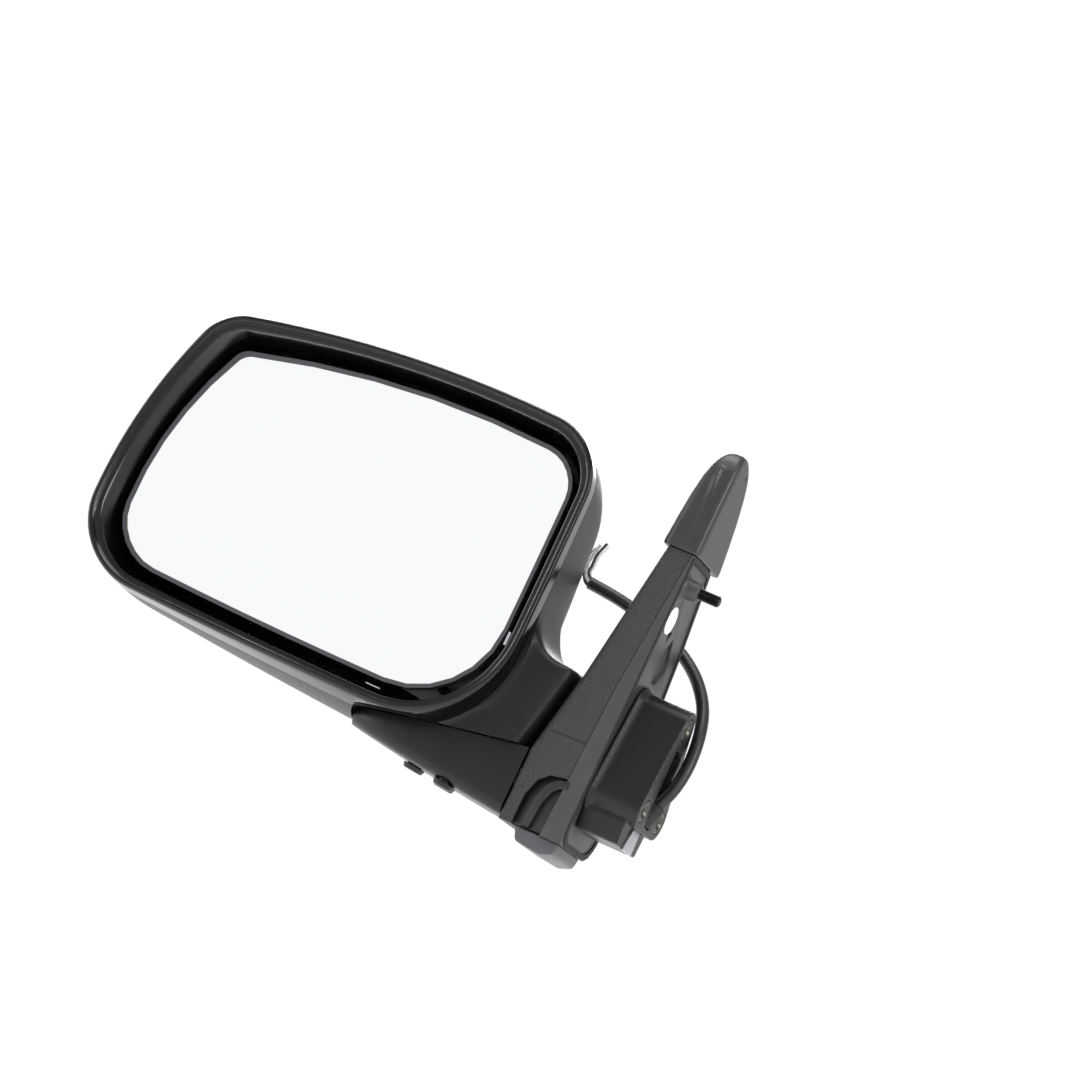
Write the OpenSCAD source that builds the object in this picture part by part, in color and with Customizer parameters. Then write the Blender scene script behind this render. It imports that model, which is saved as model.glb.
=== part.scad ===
// Left-hand car door mirror: folding head, power glass, chrome cap and side indicator.
// Millimetres. Origin on the door face at the middle of the plate's width;
// +X points towards the car, +Y forwards and +Z up. The glass looks towards -Y.

/* [Head] */
// Width of the head across its rear rim
head_w = 237; // [197:1:285]
// Height of the head across its rear rim
head_h = 167; // [139:1:201]
// Depth of the head from its rim to its nose
head_d = 100; // [90:1:120]
// Distance from the door face to the head's inner side
head_gap = 60; // [58:1:66]
// Height of the rim's top edge above the origin
head_top = 115; // [110:1:125]
// Wall of the moulded shells
shell_t = 2.4; // [1.8:0.2:3]

/* [Glass] */
// How far the glass lies inside the rim
glass_recess = 16; // [13:1:20]
// Margin between the rim's edge and the glass tray
glass_margin = 12.8; // [11:0.2:16]
// Thickness of the mirror glass
glass_t = 2; // [1.6:0.2:2.4]
// Greatest tilt of the glass either way, in degrees
glass_tilt = 7; // [5:1:8]

/* [Glass drive] */
// Distance from the gimbal's centre to each jack screw
jack_r = 27; // [22.5:0.5:32.5]
// Radius of the jack screws
screw_r = 3; // [2.5:0.1:3.6]
// Side of the square drive housing
drive_w = 84; // [78:1:101]

/* [Pivot] */
// Outer radius of the fold pivot's tube
tube_r = 11; // [9:0.5:13.2]
// Lean of the fold axis away from the car, in degrees
fold_lean = 10; // [8:1:12]
// Distance of the fold axis from the door face, on the seam
pivot_x = 78; // [76:1:80]

/* [Base] */
// Height of the plate's top above the origin
plate_top = 80; // [67:1:96]
// Depth of the plate from its rear to its front edge
plate_w = 61; // [58:1:66]
// Radius of the threaded inserts' bores
insert_bore_r = 2.5; // [2:0.1:3]
// Radius of the locating stud
stud_r = 3; // [2.5:0.1:4]

/* [Hidden] */
$fn = 48;

far = 600;
slack = 0.3;
run_gap = 0.05;
seam_gap = 0.8;

// Rim and head outline: outboard top, inboard top, inboard bottom, outboard bottom
rim_y = -45;
rake = 18.5;
outboard_drop = 15.5;
outboard_rise = 4;
rim_cuts = [14, 30, 58, 36];
rim_bows = [9, 0.6, 2, 10.5];
keel = 16;
nose_w = 44;
nose_h = 34;
nose_cut = 12;
side_steps = 5;
corner_steps = 5;
depth_steps = 11;

head_x = -head_gap - head_w / 2;
head_z = head_top - head_h / 2;
head_bottom = head_top - head_h;
nose_y = rim_y + head_d;

// Glass drive, measured from the gimbal's centre
glass_y = rim_y + glass_recess;
tray_back = glass_y + glass_t + 2.3;
pivot_y = glass_y + 16;
drive_y = pivot_y + 8.5;
drive_d = 18.5;
cover_t = 2.5;
frame_y = drive_y + drive_d + cover_t;
frame_t = 3.5;
ball_r = 3.5;
ball_play = 1.1;
ring_r = 11;
ear_x = 14;
ear_t = 3;
pin_r = 2;
jack_travel = jack_r * sin(glass_tilt);
gear_r = 9;
gear_w = 5;
gear_y = drive_y + 7.5;
worm_r = 3.5;
worm_gap = 0.3;
motor_r = 7.5;

// Fold pivot
pivot_fore = -12;
seam_z = -47;
toe_r = 54;
neck_r = 40.6;
neck_top = 5;
neck_flare = 21.4;
foot_r = 18;
web_r = 16.5;
web_t = 4;
web_top = -2.2;
spring_r = 1.2;
retainer_z = -15.8;

// Base
plate_rear = -30;
plate_low = -78;
plate_front = plate_rear + plate_w;
skin_t = 2.2;
face_drop = 0.6;
boss_x = 28;
boss_r = 9.5;
boss_spots = [[-7.5, 1], [-16.5, -45], [17.6, -45]];
insert_len = 14;
stud_spot = [-21.5, 64.5];
stud_end = 19;
gland_from = [23.2, 2, -50];
cable_r = 3.3;
cable_route = [
    [28, 2, -38], [31.6, 3, -27], [32.6, 5, -13], [29.8, 9.5, 3], [23, 18, 17], [12, 27, 29],
    [-1, 35, 38], [-14, 40, 44], [-29, 42, 49], [-46, 40, 53], [-65, 38, 55]
];
wire_r = 0.8;
wire_spread = 2.1;
wire_route = [[-65, 38, 55], [-68, 39, 57.5], [-69.6, 40, 62], [-70, 41, 68], [-68, 41.5, 75]];

function mix(a, b, t) = a + (b - a) * t;
function curve2(a, c, b, t) = mix(mix(a, c, t), mix(c, b, t), t);
function curve3(a, h, k, b, t) = mix(curve2(a, h, k, t), curve2(h, k, b, t), t);
function unit(v) = v / norm(v);
function dome(t, n) = 1 - sqrt(max(0, 1 - pow(t, n)));

// Middle control point of the bowed side from a to b
function bow_top(a, b, bow) = (a + b) / 2 + 2 * bow * unit([a[1] - b[1], b[0] - a[0]]);
function bow_dir(a, c, b, t) = unit(mix(c, b, t) - mix(a, c, t));

// A closed outline with four bowed sides and four rounded corners
function bowed_outline(corners, bows, cuts) = [
    for (i = [0:3])
        let (
            a = corners[i],
            b = corners[(i + 1) % 4],
            c = corners[(i + 2) % 4],
            m = bow_top(a, b, bows[i]),
            n = bow_top(b, c, bows[(i + 1) % 4]),
            cut = cuts[(i + 1) % 4],
            start = cuts[i] / norm(b - a),
            stop = 1 - cut / norm(b - a),
            next = cut / norm(c - b),
            p = curve2(a, m, b, stop),
            q = curve2(b, n, c, next),
            h = p + bow_dir(a, m, b, stop) * cut * 0.56,
            k = q - bow_dir(b, n, c, next) * cut * 0.56
        )
        each concat(
            [for (j = [0:side_steps]) curve2(a, m, b, mix(start, stop, j / side_steps))],
            [for (j = [1:corner_steps]) curve3(p, h, k, q, j / (corner_steps + 1))]
        )
];

// The head's outline at depth t (0 at the rim, 1 at the nose), set in by skin
function head_outline(t, skin = 0, proud = 0) =
    let (
        spare_w = head_w - nose_w,
        spare_h = head_h - nose_h,
        sag = keel * sin(180 * min(1, t / 0.95)),
        inner = 0.3 * spare_w * dome(t, 7) + skin,
        outer = 8 * t + (0.7 * spare_w - 8) * dome(t, 2.6) + skin - proud,
        upper = 2 * t + 0.55 * spare_h * dome(t, 3) + skin,
        lower = 0.45 * spare_h * dome(t, 3.2) + skin,
        corners = [
            [-head_gap - head_w + rake + outer, head_top - outboard_drop - upper],
            [-head_gap - 10 * t - inner, head_top - 1 - upper],
            [-head_gap + 4 * t - inner, head_bottom - sag + lower],
            [-head_gap - head_w + outer, head_bottom + outboard_rise - sag / 8 + lower]
        ],
        cuts = [for (c = rim_cuts) mix(max(c - 0.8 * skin, 4), nose_cut, dome(t, 3))]
    )
    bowed_outline(corners, rim_bows * (1 - 0.8 * dome(t, 3)), cuts);

function in_plane_y(outline, y) = [for (p = outline) [p[0], y, p[1]]];
function head_depth(j) = sin(90 * j / depth_steps);
function head_rings(skin, proud = 0) = [
    for (j = [0:depth_steps])
        let (t = head_depth(j))
        in_plane_y(head_outline(t, skin, proud * t), rim_y + t * (head_d - skin))
];

// Points round a corner list of [x, y, radius], with arcs at the corners that have a radius
function rounded(corners, steps = 5) = [
    for (i = [0:len(corners) - 1])
        let (
            n = len(corners),
            b = [corners[i][0], corners[i][1]],
            a = [corners[(i + n - 1) % n][0], corners[(i + n - 1) % n][1]],
            c = [corners[(i + 1) % n][0], corners[(i + 1) % n][1]],
            r = corners[i][2],
            u = unit(a - b),
            v = unit(c - b),
            half = acos(u * v) / 2,
            reach = r / tan(half),
            mid = b + unit(u + v) * r / sin(half),
            s = b + u * reach - mid,
            turn = 180 - 2 * half,
            side = sign(u[0] * v[1] - u[1] * v[0])
        )
        each corners[i][2] == 0 ? [b] : [
            for (j = [0:steps])
                let (w = -side * turn * j / steps)
                mid + [s[0] * cos(w) - s[1] * sin(w), s[0] * sin(w) + s[1] * cos(w)]
        ]
];

// A solid skinned over rings of equal length
module loft(rings) {
    n = len(rings[0]);
    m = len(rings);
    polyhedron(
        points = [for (r = rings) each r],
        faces = concat(
            [[for (i = [0:n - 1]) i]],
            [
                for (j = [0:m - 2], i = [0:n - 1])
                    let (k = (i + 1) % n)
                    each [
                        [j * n + k, j * n + i, (j + 1) * n + i],
                        [j * n + k, (j + 1) * n + i, (j + 1) * n + k]
                    ]
            ],
            [[for (i = [n - 1:-1:0]) (m - 1) * n + i]]
        )
    );
}

// Shells cut from lofts are one mesh
module meshed() {
    resize([0, 0, 0]) children();
}

module along_y(from, to) {
    translate([0, to, 0]) rotate([90, 0, 0]) linear_extrude(to - from) children();
}

module along_x(from, to) {
    translate([from, 0, 0]) rotate([90, 0, 90]) linear_extrude(to - from) children();
}

module rod_y(x, z, from, to, r) {
    translate([x, from, z]) rotate([-90, 0, 0]) cylinder(h = to - from, r = r);
}

module rod_x(y, z, from, to, r) {
    translate([from, y, z]) rotate([0, 90, 0]) cylinder(h = to - from, r = r);
}

// The fold axis stands on the seam; its own Z runs up the axis
module at_pivot() {
    translate([-pivot_x, pivot_fore, seam_z]) rotate([0, -fold_lean, 0]) children();
}

module at_gimbal() {
    translate([head_x, pivot_y, head_z]) children();
}

function seam_height(x) = seam_z + (x + pivot_x) * tan(fold_lean);

// ---- Base ----

// Outline of the plate seen from the car: rear edge, sloping front edge
function plate_edge(z) = z > plate_top / 2
    ? mix(plate_front - 8, plate_front - 21, (z - plate_top / 2) / (plate_top / 2))
    : mix(plate_front, plate_front - 8, max(0, z - 8) / (plate_top / 2 - 8));
function plate_outline(inset) = rounded([
    [plate_rear + inset, plate_top - inset, 2],
    [plate_edge(plate_top) - inset, plate_top - inset, 3],
    [plate_edge(plate_top / 2) - inset, plate_top / 2, 60],
    [plate_front - inset, 8, 20],
    [plate_front - inset, plate_low + inset, 14],
    [plate_rear + inset, plate_low + inset, 10]
]);
function plate_split(z) = z > 0 ? mix(-9, -2, z / plate_top) : mix(-9, -12, -z / 78);
function cover_face(z) = z > neck_top
    ? mix(-27, -16, (z - neck_top) / (plate_top - neck_top))
    : mix(-27, -36, min(1, (neck_top - z) / 45));

cover_stations = [plate_low, plate_low + 3, plate_low + 10, -40, neck_top, plate_top / 2, plate_top];

// Plan outline of the cover at height z, set in by skin
function cover_ring(z, skin, open) =
    let (
        low = max(0, (plate_low + 10 - z) / 10),
        pull = 10 * (1 - sqrt(1 - low * low)),
        front = plate_edge(z) - pull - skin,
        face = cover_face(z) + skin
    )
    [for (p = rounded([
        [open, plate_rear + skin, 0], [open, front, 0], [face, front, 9], [face, plate_rear + skin, 4]
    ])) [p[0], p[1], z]];
function cover_rings(skin, open) = [
    for (z = cover_stations) cover_ring(z, skin, open > 0 ? open : plate_split(z) - slack)
];

module sail_cover() {
    color("#3a3a3c") meshed() difference() {
        loft(cover_rings(0, 0));
        difference() {
            loft(cover_rings(skin_t, 5));
            translate([-far, -far, plate_top - skin_t]) cube(2 * far);
            translate([-far, -far, plate_low - far]) cube([2 * far, 2 * far, far + skin_t]);
        }
        along_x(-7 - slack, far) offset(slack) tongue_face();
        // way through for the arm and its cast beam
        translate([-far - 20, plate_rear + 6, -66]) cube([far, 42, 20]);
    }
}

tongue_top = 122;
// Tongue under the boot
module tongue_face() {
    polygon(rounded([
        [plate_rear + 5, plate_top - 4, 0], [plate_edge(plate_top) - 6, plate_top - 4, 0],
        [-6, tongue_top, 6], [-20, tongue_top, 6]
    ]));
}

module mounting_plate() {
    color("#8c8d90") meshed() difference() {
        union() {
            loft([for (z = cover_stations)
                let (low = max(0, (plate_low + 10 - z) / 10), pull = 10 * (1 - sqrt(1 - low * low)))
                [for (p = rounded([
                    [-face_drop, plate_rear, 1],
                    [-face_drop, plate_edge(z) - pull, 1],
                    [plate_split(z), plate_edge(z) - pull, 0],
                    [plate_split(z), plate_rear, 0]
                ], 2)) [p[0], p[1], z]]]);
            along_x(-7, -face_drop) tongue_face();
        }
        // pocket behind the face
        along_x(-20, -3.2) polygon(rounded([
            [plate_rear + 3, 55, 2], [plate_edge(55) - 3, 55, 2],
            [plate_front - 3, 5, 2], [plate_front - 3, -66, 6], [plate_rear + 3, -66, 6]
        ]));
        // teardrop recess and triangular hole
        along_x(-2.2, 1) polygon(rounded([[-1, 41, 1], [12, 26, 7], [0, 13, 9], [-14, 22, 7]]));
        along_x(-far, far) polygon([[-13, 42], [-7, 43], [-12, 36]]);
        // seat of the boss housing, cable way and gasket groove
        along_x(-1.9, 1) circle_pad(slack);
        for (s = boss_spots) rod_x(s[0], s[1], -far, far, 3.2);
        rod_x(0, -36, -far, far, 8);
        along_x(-1.6, 1) difference() {
            polygon(plate_outline(0.5));
            polygon(plate_outline(3.1));
        }
        // stud foot
        rod_x(stud_spot[0], stud_spot[1], -far, far, stud_r + slack);
    }
}

// Three-lobed foot of the boss housing
module circle_pad(grow) {
    hull() for (s = boss_spots) translate(s) circle(r = boss_r + 0.4 + grow, $fn = 32);
}

module door_gasket() {
    color("#1d1d1f") along_x(-1.5, 0) difference() {
        polygon(plate_outline(0.6));
        polygon(plate_outline(3));
    }
}

module lower_seal() {
    color("#9a9b9d") along_y(plate_rear + 1, plate_front - 16) polygon(rounded([
        [-26, plate_low, 1], [-1, plate_low, 1], [-2, plate_low - 6, 3],
        [-9, plate_low - 8.5, 4], [-23, plate_low - 7, 3]
    ]));
}

boot_h = 57;
function boot_ring(u) =
    let (
        z = plate_top + slack + boot_h * u,
        close = 13 * (1 - sqrt(max(0, 1 - pow(u, 5)))),
        front = mix(22, -2, pow(u, 1.2)) - close,
        rear = plate_rear - 1.5 + close * 0.9,
        face = mix(-19.5, -15, u) + close * 0.6
    )
    [for (p = rounded([
        [1.5 - close * 0.2, rear, 3], [1.5 - close * 0.2, front, 3], [face, front, 5], [face, rear, 5]
    ], 4)) [p[0], p[1], z]];
boot_steps = [0, 0.12, 0.3, 0.5, 0.7, 0.82, 0.9, 0.95, 0.985, 1];

module top_boot() {
    color("#4b4c4e") meshed() difference() {
        loft([for (u = boot_steps) boot_ring(u)]);
        // pocket that slides over the tongue
        along_x(-7.3, -face_drop + slack) polygon(rounded([
            [plate_rear + 4, plate_top - 6, 0], [plate_edge(plate_top) - 5, plate_top - 6, 0],
            [-5.5, tongue_top + 0.6, 6], [-20.5, tongue_top + 0.6, 6]
        ]));
        rod_x(-10, plate_top + 49, -2, far, 0.8);
    }
}

module base_bracket() {
    color("#b9babc") difference() {
        union() {
            // plate bolted to the moulding
            along_x(-17.5, -13) polygon(rounded([
                [plate_rear + 9, 0, 4], [plate_front - 8, 0, 4],
                [plate_front - 8, -62, 6], [plate_rear + 9, -62, 6]
            ]));
            // beam under the seam
            along_y(plate_rear + 8, 6) polygon([
                [-14, -50], [-70, seam_height(-70) - 5], [-70, seam_height(-70) - 11], [-14, -62]
            ]);
            at_pivot() translate([0, 0, web_top - web_t]) cylinder(h = web_t, r = web_r);
            // stand-offs onto the moulding
            for (s = boss_spots) if (s[1] < 0) rod_x(s[0], s[1], -13.5, -3.2, 6);
        }
        at_pivot() translate([0, 0, -far / 2]) cylinder(h = far, r = tube_r + run_gap);
        at_pivot() translate([0, 0, web_top]) cylinder(h = 30, r = 24);
        at_pivot() translate([0, 0, web_top - web_t - 16]) cylinder(h = 16, r = 19);
        for (s = boss_spots) rod_x(s[0], s[1], -far, far, 2.6);
        rod_x(0, -36, -30, 0, 9);
    }
}

module bracket_screws() {
    color("#c9cacc") for (s = boss_spots) if (s[1] < 0) {
        rod_x(s[0], s[1], -19.7, -17.5, 5);
        rod_x(s[0], s[1], -17.6, 8, 2.45);
    }
}

// The arm under the head: sections across it, from the cover to its toe
function arm_floor(x) = -76.5 + arm_rise * (-x - 34);
function arm_ring(x, skin) =
    let (
        u = (-x - 34) / (pivot_x + toe_r - 34),
        end = dome(u, 4),
        top = seam_height(x) - 0.4 + (skin > 0 ? -skin : 0),
        floor = mix(arm_floor(x), top - 5, end * 0.6) + skin,
        front = mix(mix(29, 16, u), pivot_fore + 4, end) - skin,
        rear = mix(mix(-29, -34, u), pivot_fore - 4, end) + skin,
        r = min(6, (front - rear) / 2.5, (top - floor) / 1.5)
    )
    [for (p = rounded([[front, top, 0], [front, floor, r], [rear, floor, r], [rear, top, 0]], 4))
        [x, p[0], p[1]]];
function arm_rings(skin, from) = [
    for (k = [0, 0.25, 0.5, 0.7, 0.85, 0.93, 0.975, 1])
        arm_ring(mix(from, -pivot_x - toe_r + 1 + skin, k), skin)
];
arm_from = -36.4;
arm_rise = 0.097;

module arm_cover() {
    color("#1c1c1e") meshed() difference() {
        intersection() {
            loft(arm_rings(0, arm_from));
            union() {
                at_pivot() translate([0, 0, -60]) cylinder(h = 60 - seam_gap / 2, r = toe_r, $fn = 72);
                translate([-pivot_x + 20, -50, -100]) cube([60, 100, 100]);
            }
        }
        loft(arm_rings(skin_t, arm_from + 6));
        at_pivot() translate([0, 0, -8]) cylinder(h = 60, r = web_r + 0.4, $fn = 64);
        for (s = plug_spots) at_plug(s) translate([0, 0, -5]) cylinder(h = 20, r = 4);
    }
}

plug_spots = [[-91, pivot_fore - 2], [-76, pivot_fore + 9], [-70, pivot_fore - 12]];
module at_plug(spot) {
    translate([spot[0], spot[1], arm_floor(spot[0])]) rotate([0, atan(arm_rise), 0]) children();
}

module arm_plugs() {
    color("#161617") for (s = plug_spots) at_plug(s) {
        translate([0, 0, -2.6]) cylinder(h = 2.6, r1 = 5, r2 = 6);
        translate([0, 0, -0.1]) cylinder(h = 4, r = 4);
    }
}

module fold_spring() {
    color("#8f9092") at_pivot() for (k = [0:2])
        translate([0, 0, web_top - web_t - 1.4 - k * 2.6]) rotate_extrude()
            translate([tube_r + 3.2, 0]) circle(r = spring_r, $fn = 16);
}

module detent_ring() {
    color("#77787a") at_pivot() translate([0, 0, web_top]) difference() {
        cylinder(h = 1.8, r = web_r - 0.5);
        translate([0, 0, -1]) cylinder(h = 4, r = tube_r + 0.4);
    }
}

module boss_housing() {
    color("#18181a") difference() {
        union() {
            along_x(-1.9, 4) circle_pad(0);
            along_x(4, boss_x - 0.1) hull() for (s = boss_spots) translate(s) circle(r = boss_r, $fn = 32);
            along_x(-face_drop + slack, boss_x - 5) polygon(rounded([
                [-24, -50, 4], [22, -50, 4], [20, -66, 2], [-20, -66, 2]
            ]));
        }
        for (s = boss_spots) rod_x(s[0], s[1], boss_x - insert_len - 1, far, 6);
        // open middle between the lobes
        along_x(boss_x - 18, far) polygon(rounded([[-3, -12, 3], [5, -12, 3], [4, -30, 2], [-5, -30, 2]]));
        translate(gland_from) rotate([0, 22, 0]) cylinder(h = 80, r = 5.2);
        for (s = boss_spots) rod_x(s[0], s[1], -far, boss_x, 2.45);
    }
}

module boss_inserts() {
    color("#a9a294") for (s = boss_spots) difference() {
        rod_x(s[0], s[1], boss_x - insert_len, boss_x, 5.9);
        rod_x(s[0], s[1], 0, far, insert_bore_r);
    }
}

module locating_stud() {
    color("#2a2a2c") {
        rod_x(stud_spot[0], stud_spot[1], -6, stud_end, stud_r);
        rod_x(stud_spot[0], stud_spot[1], -face_drop + 0.1, 8, stud_r + 2.2);
    }
}

module cable_gland() {
    color("#202022") difference() {
        translate(gland_from) rotate([0, 22, 0]) {
            translate([0, 0, 1]) cylinder(h = 9, r = 5);
            translate([0, 0, 9.9]) cylinder(h = 3, r = 4.6);
        }
        translate(gland_from) rotate([0, 22, 0]) cylinder(h = 60, r = cable_r - 0.2);
    }
}

// A round tube swept along a route of points, turning as little as it can
function tube_dir(route, i) =
    unit(route[min(i + 1, len(route) - 1)] - route[max(i - 1, 0)]);
function tube_side(route, i) = i == 0
    ? unit(cross(tube_dir(route, 0), [0.3, 1, 0.2]))
    : let (d = tube_dir(route, i), s = tube_side(route, i - 1)) unit(s - d * (s * d));
function tube_ring(p, d, s, r, sides) =
    let (w = cross(d, s))
    [for (k = [0:sides - 1]) p + r * (s * cos(360 * k / sides) + w * sin(360 * k / sides))];
function smooth_route(route, steps) = concat(
    [
        for (i = [0:len(route) - 2], j = [0:steps - 1])
            let (
                a = route[max(i - 1, 0)],
                b = route[i],
                c = route[i + 1],
                d = route[min(i + 2, len(route) - 1)],
                t = j / steps
            )
            curve3(b, b + (c - a) / 6, c - (d - b) / 6, c, t)
    ],
    [route[len(route) - 1]]
);
module tube(route, r, sides) {
    loft([for (i = [0:len(route) - 1])
        tube_ring(route[i], tube_dir(route, i), tube_side(route, i), r, sides)]);
}

module harness_cable() {
    color("#222224") tube(smooth_route(cable_route, 2), cable_r, 10);
}

module harness_wires() {
    for (k = [0:5])
        let (
            a = 60 * k,
            fan = [for (i = [0:len(wire_route) - 1])
                let (g = i == 0 ? wire_spread : wire_spread * (1 + 0.35 * i))
                wire_route[i] + [0.15, g * cos(a), g * sin(a) * (i < 2 ? 1 : 0.5)]
                + [i < 2 ? 0 : 0.5 * g * sin(a), 0, 0]]
        )
        color("#d0d0d0") tube(smooth_route(fan, 2), wire_r, 8);
}

module round_sticker() {
    color("#f2f2f0") rod_x(-19, 47, -face_drop, -face_drop + 0.3, 7.2);
}

// ---- Head shells ----

bezel_y = rim_y + 12;
cap_low = 14;

module head_solid(skin, proud = 0) {
    loft(head_rings(skin, proud));
}

// Room for the arm under the seam
module foot_way(grow = 0) {
    at_pivot() translate([0, 0, -100])
        cylinder(h = 100 + seam_gap / 2 + grow, r = toe_r + 1.2 + grow, $fn = 96);
}

neck_rear = -32;
neck_fore = 20;
function neck_profile(skin) = rounded([
    [-130, 30 - skin, 0], [-head_gap - 6, 34 - skin, 1], [-head_gap + 8, neck_top - skin, 11],
    [0, neck_top - skin, 1], [0, -100, 1], [-130, -100, 0]
]);

module neck_solid(skin) {
    intersection() {
        along_y(neck_rear + skin, neck_fore - skin) polygon(neck_profile(skin));
        at_pivot() translate([0, 0, -20]) cylinder(
            h = 120, $fn = 96,
            r1 = neck_r - skin - 20 * tan(neck_flare), r2 = neck_r - skin + 100 * tan(neck_flare)
        );
        at_pivot() translate([-far, -far, seam_gap / 2]) cube(2 * far);
    }
}

// The chrome's rear edge: straight over the top, then slanting round the inner side
module cap_zone(gap) {
    intersection() {
        translate([-far, bezel_y + gap, cap_low + gap]) cube([2 * far, far, far]);
        translate([-head_gap - 25 - gap, bezel_y, 0]) rotate([0, 0, -27])
            translate([-far, -far, -far]) cube([far, 2 * far, 2 * far]);
    }
}

lens_tip = [-head_gap - 81, 19];
function lens_outline(grow) = concat(
    [[lens_tip[0] + grow, lens_tip[1] - grow]],
    [for (k = [0:6]) curve3(
        lens_tip + [grow, 3], lens_tip + [-4 + grow, 18 + grow], lens_tip + [-60, 28 + grow],
        [-head_gap - head_w + 12, 57 + grow], k / 6)],
    [[-head_gap - head_w - 20, 58 + grow], [-head_gap - head_w - 20, 22 - grow]]
);
module lens_prism(grow) {
    along_y(bezel_y + 4 - grow, far) polygon(lens_outline(grow));
}

module head_housing() {
    color("#222224") meshed() difference() {
        union() {
            head_solid(0);
            neck_solid(0);
        }
        difference() {
            union() {
                head_solid(shell_t);
                neck_solid(shell_t);
            }
            foot_way(shell_t);
        }
        at_pivot() translate([0, 0, -6]) cylinder(h = 16, r = foot_r + 0.5);
        translate([-far, -far, -far]) cube([2 * far, far + bezel_y, 2 * far]);
        cap_zone(-slack);
        lens_prism(surround_w + 0.2);
        foot_way();
    }
}

module chrome_cap() {
    color("#e8e8ea") meshed() intersection() {
        difference() {
            head_solid(0);
            head_solid(shell_t);
            lens_prism(surround_w + 0.2);
        }
        cap_zone(slack);
    }
}

// The rear rim: a lip, an outer wall behind it and the well that frames the glass
well_depth = 22;
well_in = 9;
well_t = 2.2;
module well_room() {
    along_y(-far, rim_y + well_depth + slack) polygon(head_outline(0, well_in - well_t - slack));
}

module rim_bezel() {
    color("#151517") meshed() difference() {
        union() {
            difference() {
                intersection() {
                    head_solid(0);
                    translate([-far, rim_y - 1, -far])
                        cube([2 * far, bezel_y - rim_y + 1 - slack, 2 * far]);
                }
                intersection() {
                    head_solid(shell_t);
                    translate([-far, rim_y + 4, -far]) cube(2 * far);
                }
            }
            loft([
                in_plane_y(head_outline(0, well_in - 4.5), rim_y + 3),
                in_plane_y(head_outline(0, well_in - well_t), rim_y + well_depth)
            ]);
        }
        loft([
            in_plane_y(head_outline(0, 3), rim_y - 1),
            in_plane_y(head_outline(0, 3.4), rim_y + 2),
            in_plane_y(head_outline(0, 6), rim_y + 3.6),
            in_plane_y(head_outline(0, well_in), rim_y + well_depth - 2),
            in_plane_y(head_outline(0, well_in), rim_y + well_depth + 8)
        ]);
        foot_way();
    }
}

surround_w = 2.3;
lens_proud = 0.3;
module indicator_surround() {
    color("#101012") meshed() difference() {
        intersection() {
            head_solid(0, 2);
            lens_prism(surround_w);
        }
        head_solid(shell_t + 1);
        lens_prism(0.2);
        well_room();
    }
}

module indicator_lens() {
    color("#eef2f5", 0.6) meshed() difference() {
        intersection() {
            head_solid(-lens_proud, 6);
            lens_prism(0);
        }
        head_solid(shell_t - lens_proud, 6);
    }
}

module indicator_reflector() {
    color("#f4f4f4") meshed() difference() {
        intersection() {
            head_solid(shell_t - 0.2);
            lens_prism(-1.2);
        }
        head_solid(shell_t + 0.8);
        well_room();
    }
}

module indicator_board() {
    color("#2f6b3c") translate([-head_gap - head_w + 30, nose_y - 48.5, 27]) {
        cube([28, 1.6, 12]);
        for (k = [0:2]) translate([3 + 9 * k, 1.6, 4]) cube([4, 1.5, 4]);
    }
}

module bezel_clips() {
    color("#d8d8da") {
        translate([head_x + 53, rim_y + 8, head_bottom + 7.6]) cube([8, 4, 0.5]);
        translate([-head_gap - 10.8, rim_y + 14, head_z - 30]) cube([1.2, 6, 7]);
    }
}

// ---- Head frame and pivot ----

module head_frame() {
    color("#9fa0a3") difference() {
        union() {
            along_y(frame_y, frame_y + frame_t) polygon(rounded([
                [head_x - 64, head_z + 34, 12], [head_x + 78, head_z + 44, 12],
                [-head_gap - 22, head_z - 50, 8], [-head_gap - 44, seam_height(-104) + 14, 4],
                [head_x - 58, head_z - 54, 12]
            ]));
            // foot down to the pivot
            along_y(pivot_fore + 17, frame_y + 0.5) polygon([
                [-100, seam_height(-100) + 5], [-58, seam_height(-58) + 5],
                [-58, -24], [-74, -12], [-100, -12]
            ]);
            at_pivot() translate([0, 0, 1.5]) cylinder(h = 5, r = foot_r);
            at_pivot() translate([0, 0, 6]) cylinder(h = 5, r = tube_r + 2.5);
        }
        at_pivot() translate([0, 0, -50]) cylinder(h = 100, r = tube_r);
        // windows that lighten the plate, and the bores of the drive's screws
        for (s = [-1, 1]) along_y(0, far) polygon(rounded([
            [head_x + s * 45, head_z + 24, 4], [head_x + s * 57, head_z + 24, 4],
            [head_x + s * 57, head_z - 24, 4], [head_x + s * 45, head_z - 24, 4]
        ]));
        for (s = drive_screws) rod_y(s[0], s[1], 0, far, 1.6);
        rod_y(head_x, head_z, 0, far, 12);
    }
}

module pivot_tube() {
    color("#6d6e70") at_pivot() difference() {
        translate([0, 0, retainer_z - 0.7]) cylinder(h = 13 - retainer_z, r = tube_r);
        translate([0, 0, -30]) cylinder(h = 60, r = tube_r - 3);
    }
}

module spring_retainer() {
    color("#85868a") at_pivot() translate([0, 0, retainer_z]) difference() {
        cylinder(h = 1.6, r = tube_r + 5.4);
        translate([0, 0, -1]) cylinder(h = 4, r = tube_r);
    }
}

// ---- Glass drive ----

drive_inset = 7;
drive_screws = [
    for (i = [-1, 1], j = [-1, 1])
        [head_x + i * (drive_w / 2 - drive_inset), head_z + j * (drive_w / 2 - drive_inset)]
];

module drive_square(inset) {
    s = drive_w / 2 - inset;
    polygon(rounded([
        [head_x - s, head_z - s, 12 - inset], [head_x + s, head_z - s, 12 - inset],
        [head_x + s, head_z + s, 12 - inset], [head_x - s, head_z + s, 12 - inset]
    ]));
}

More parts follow.
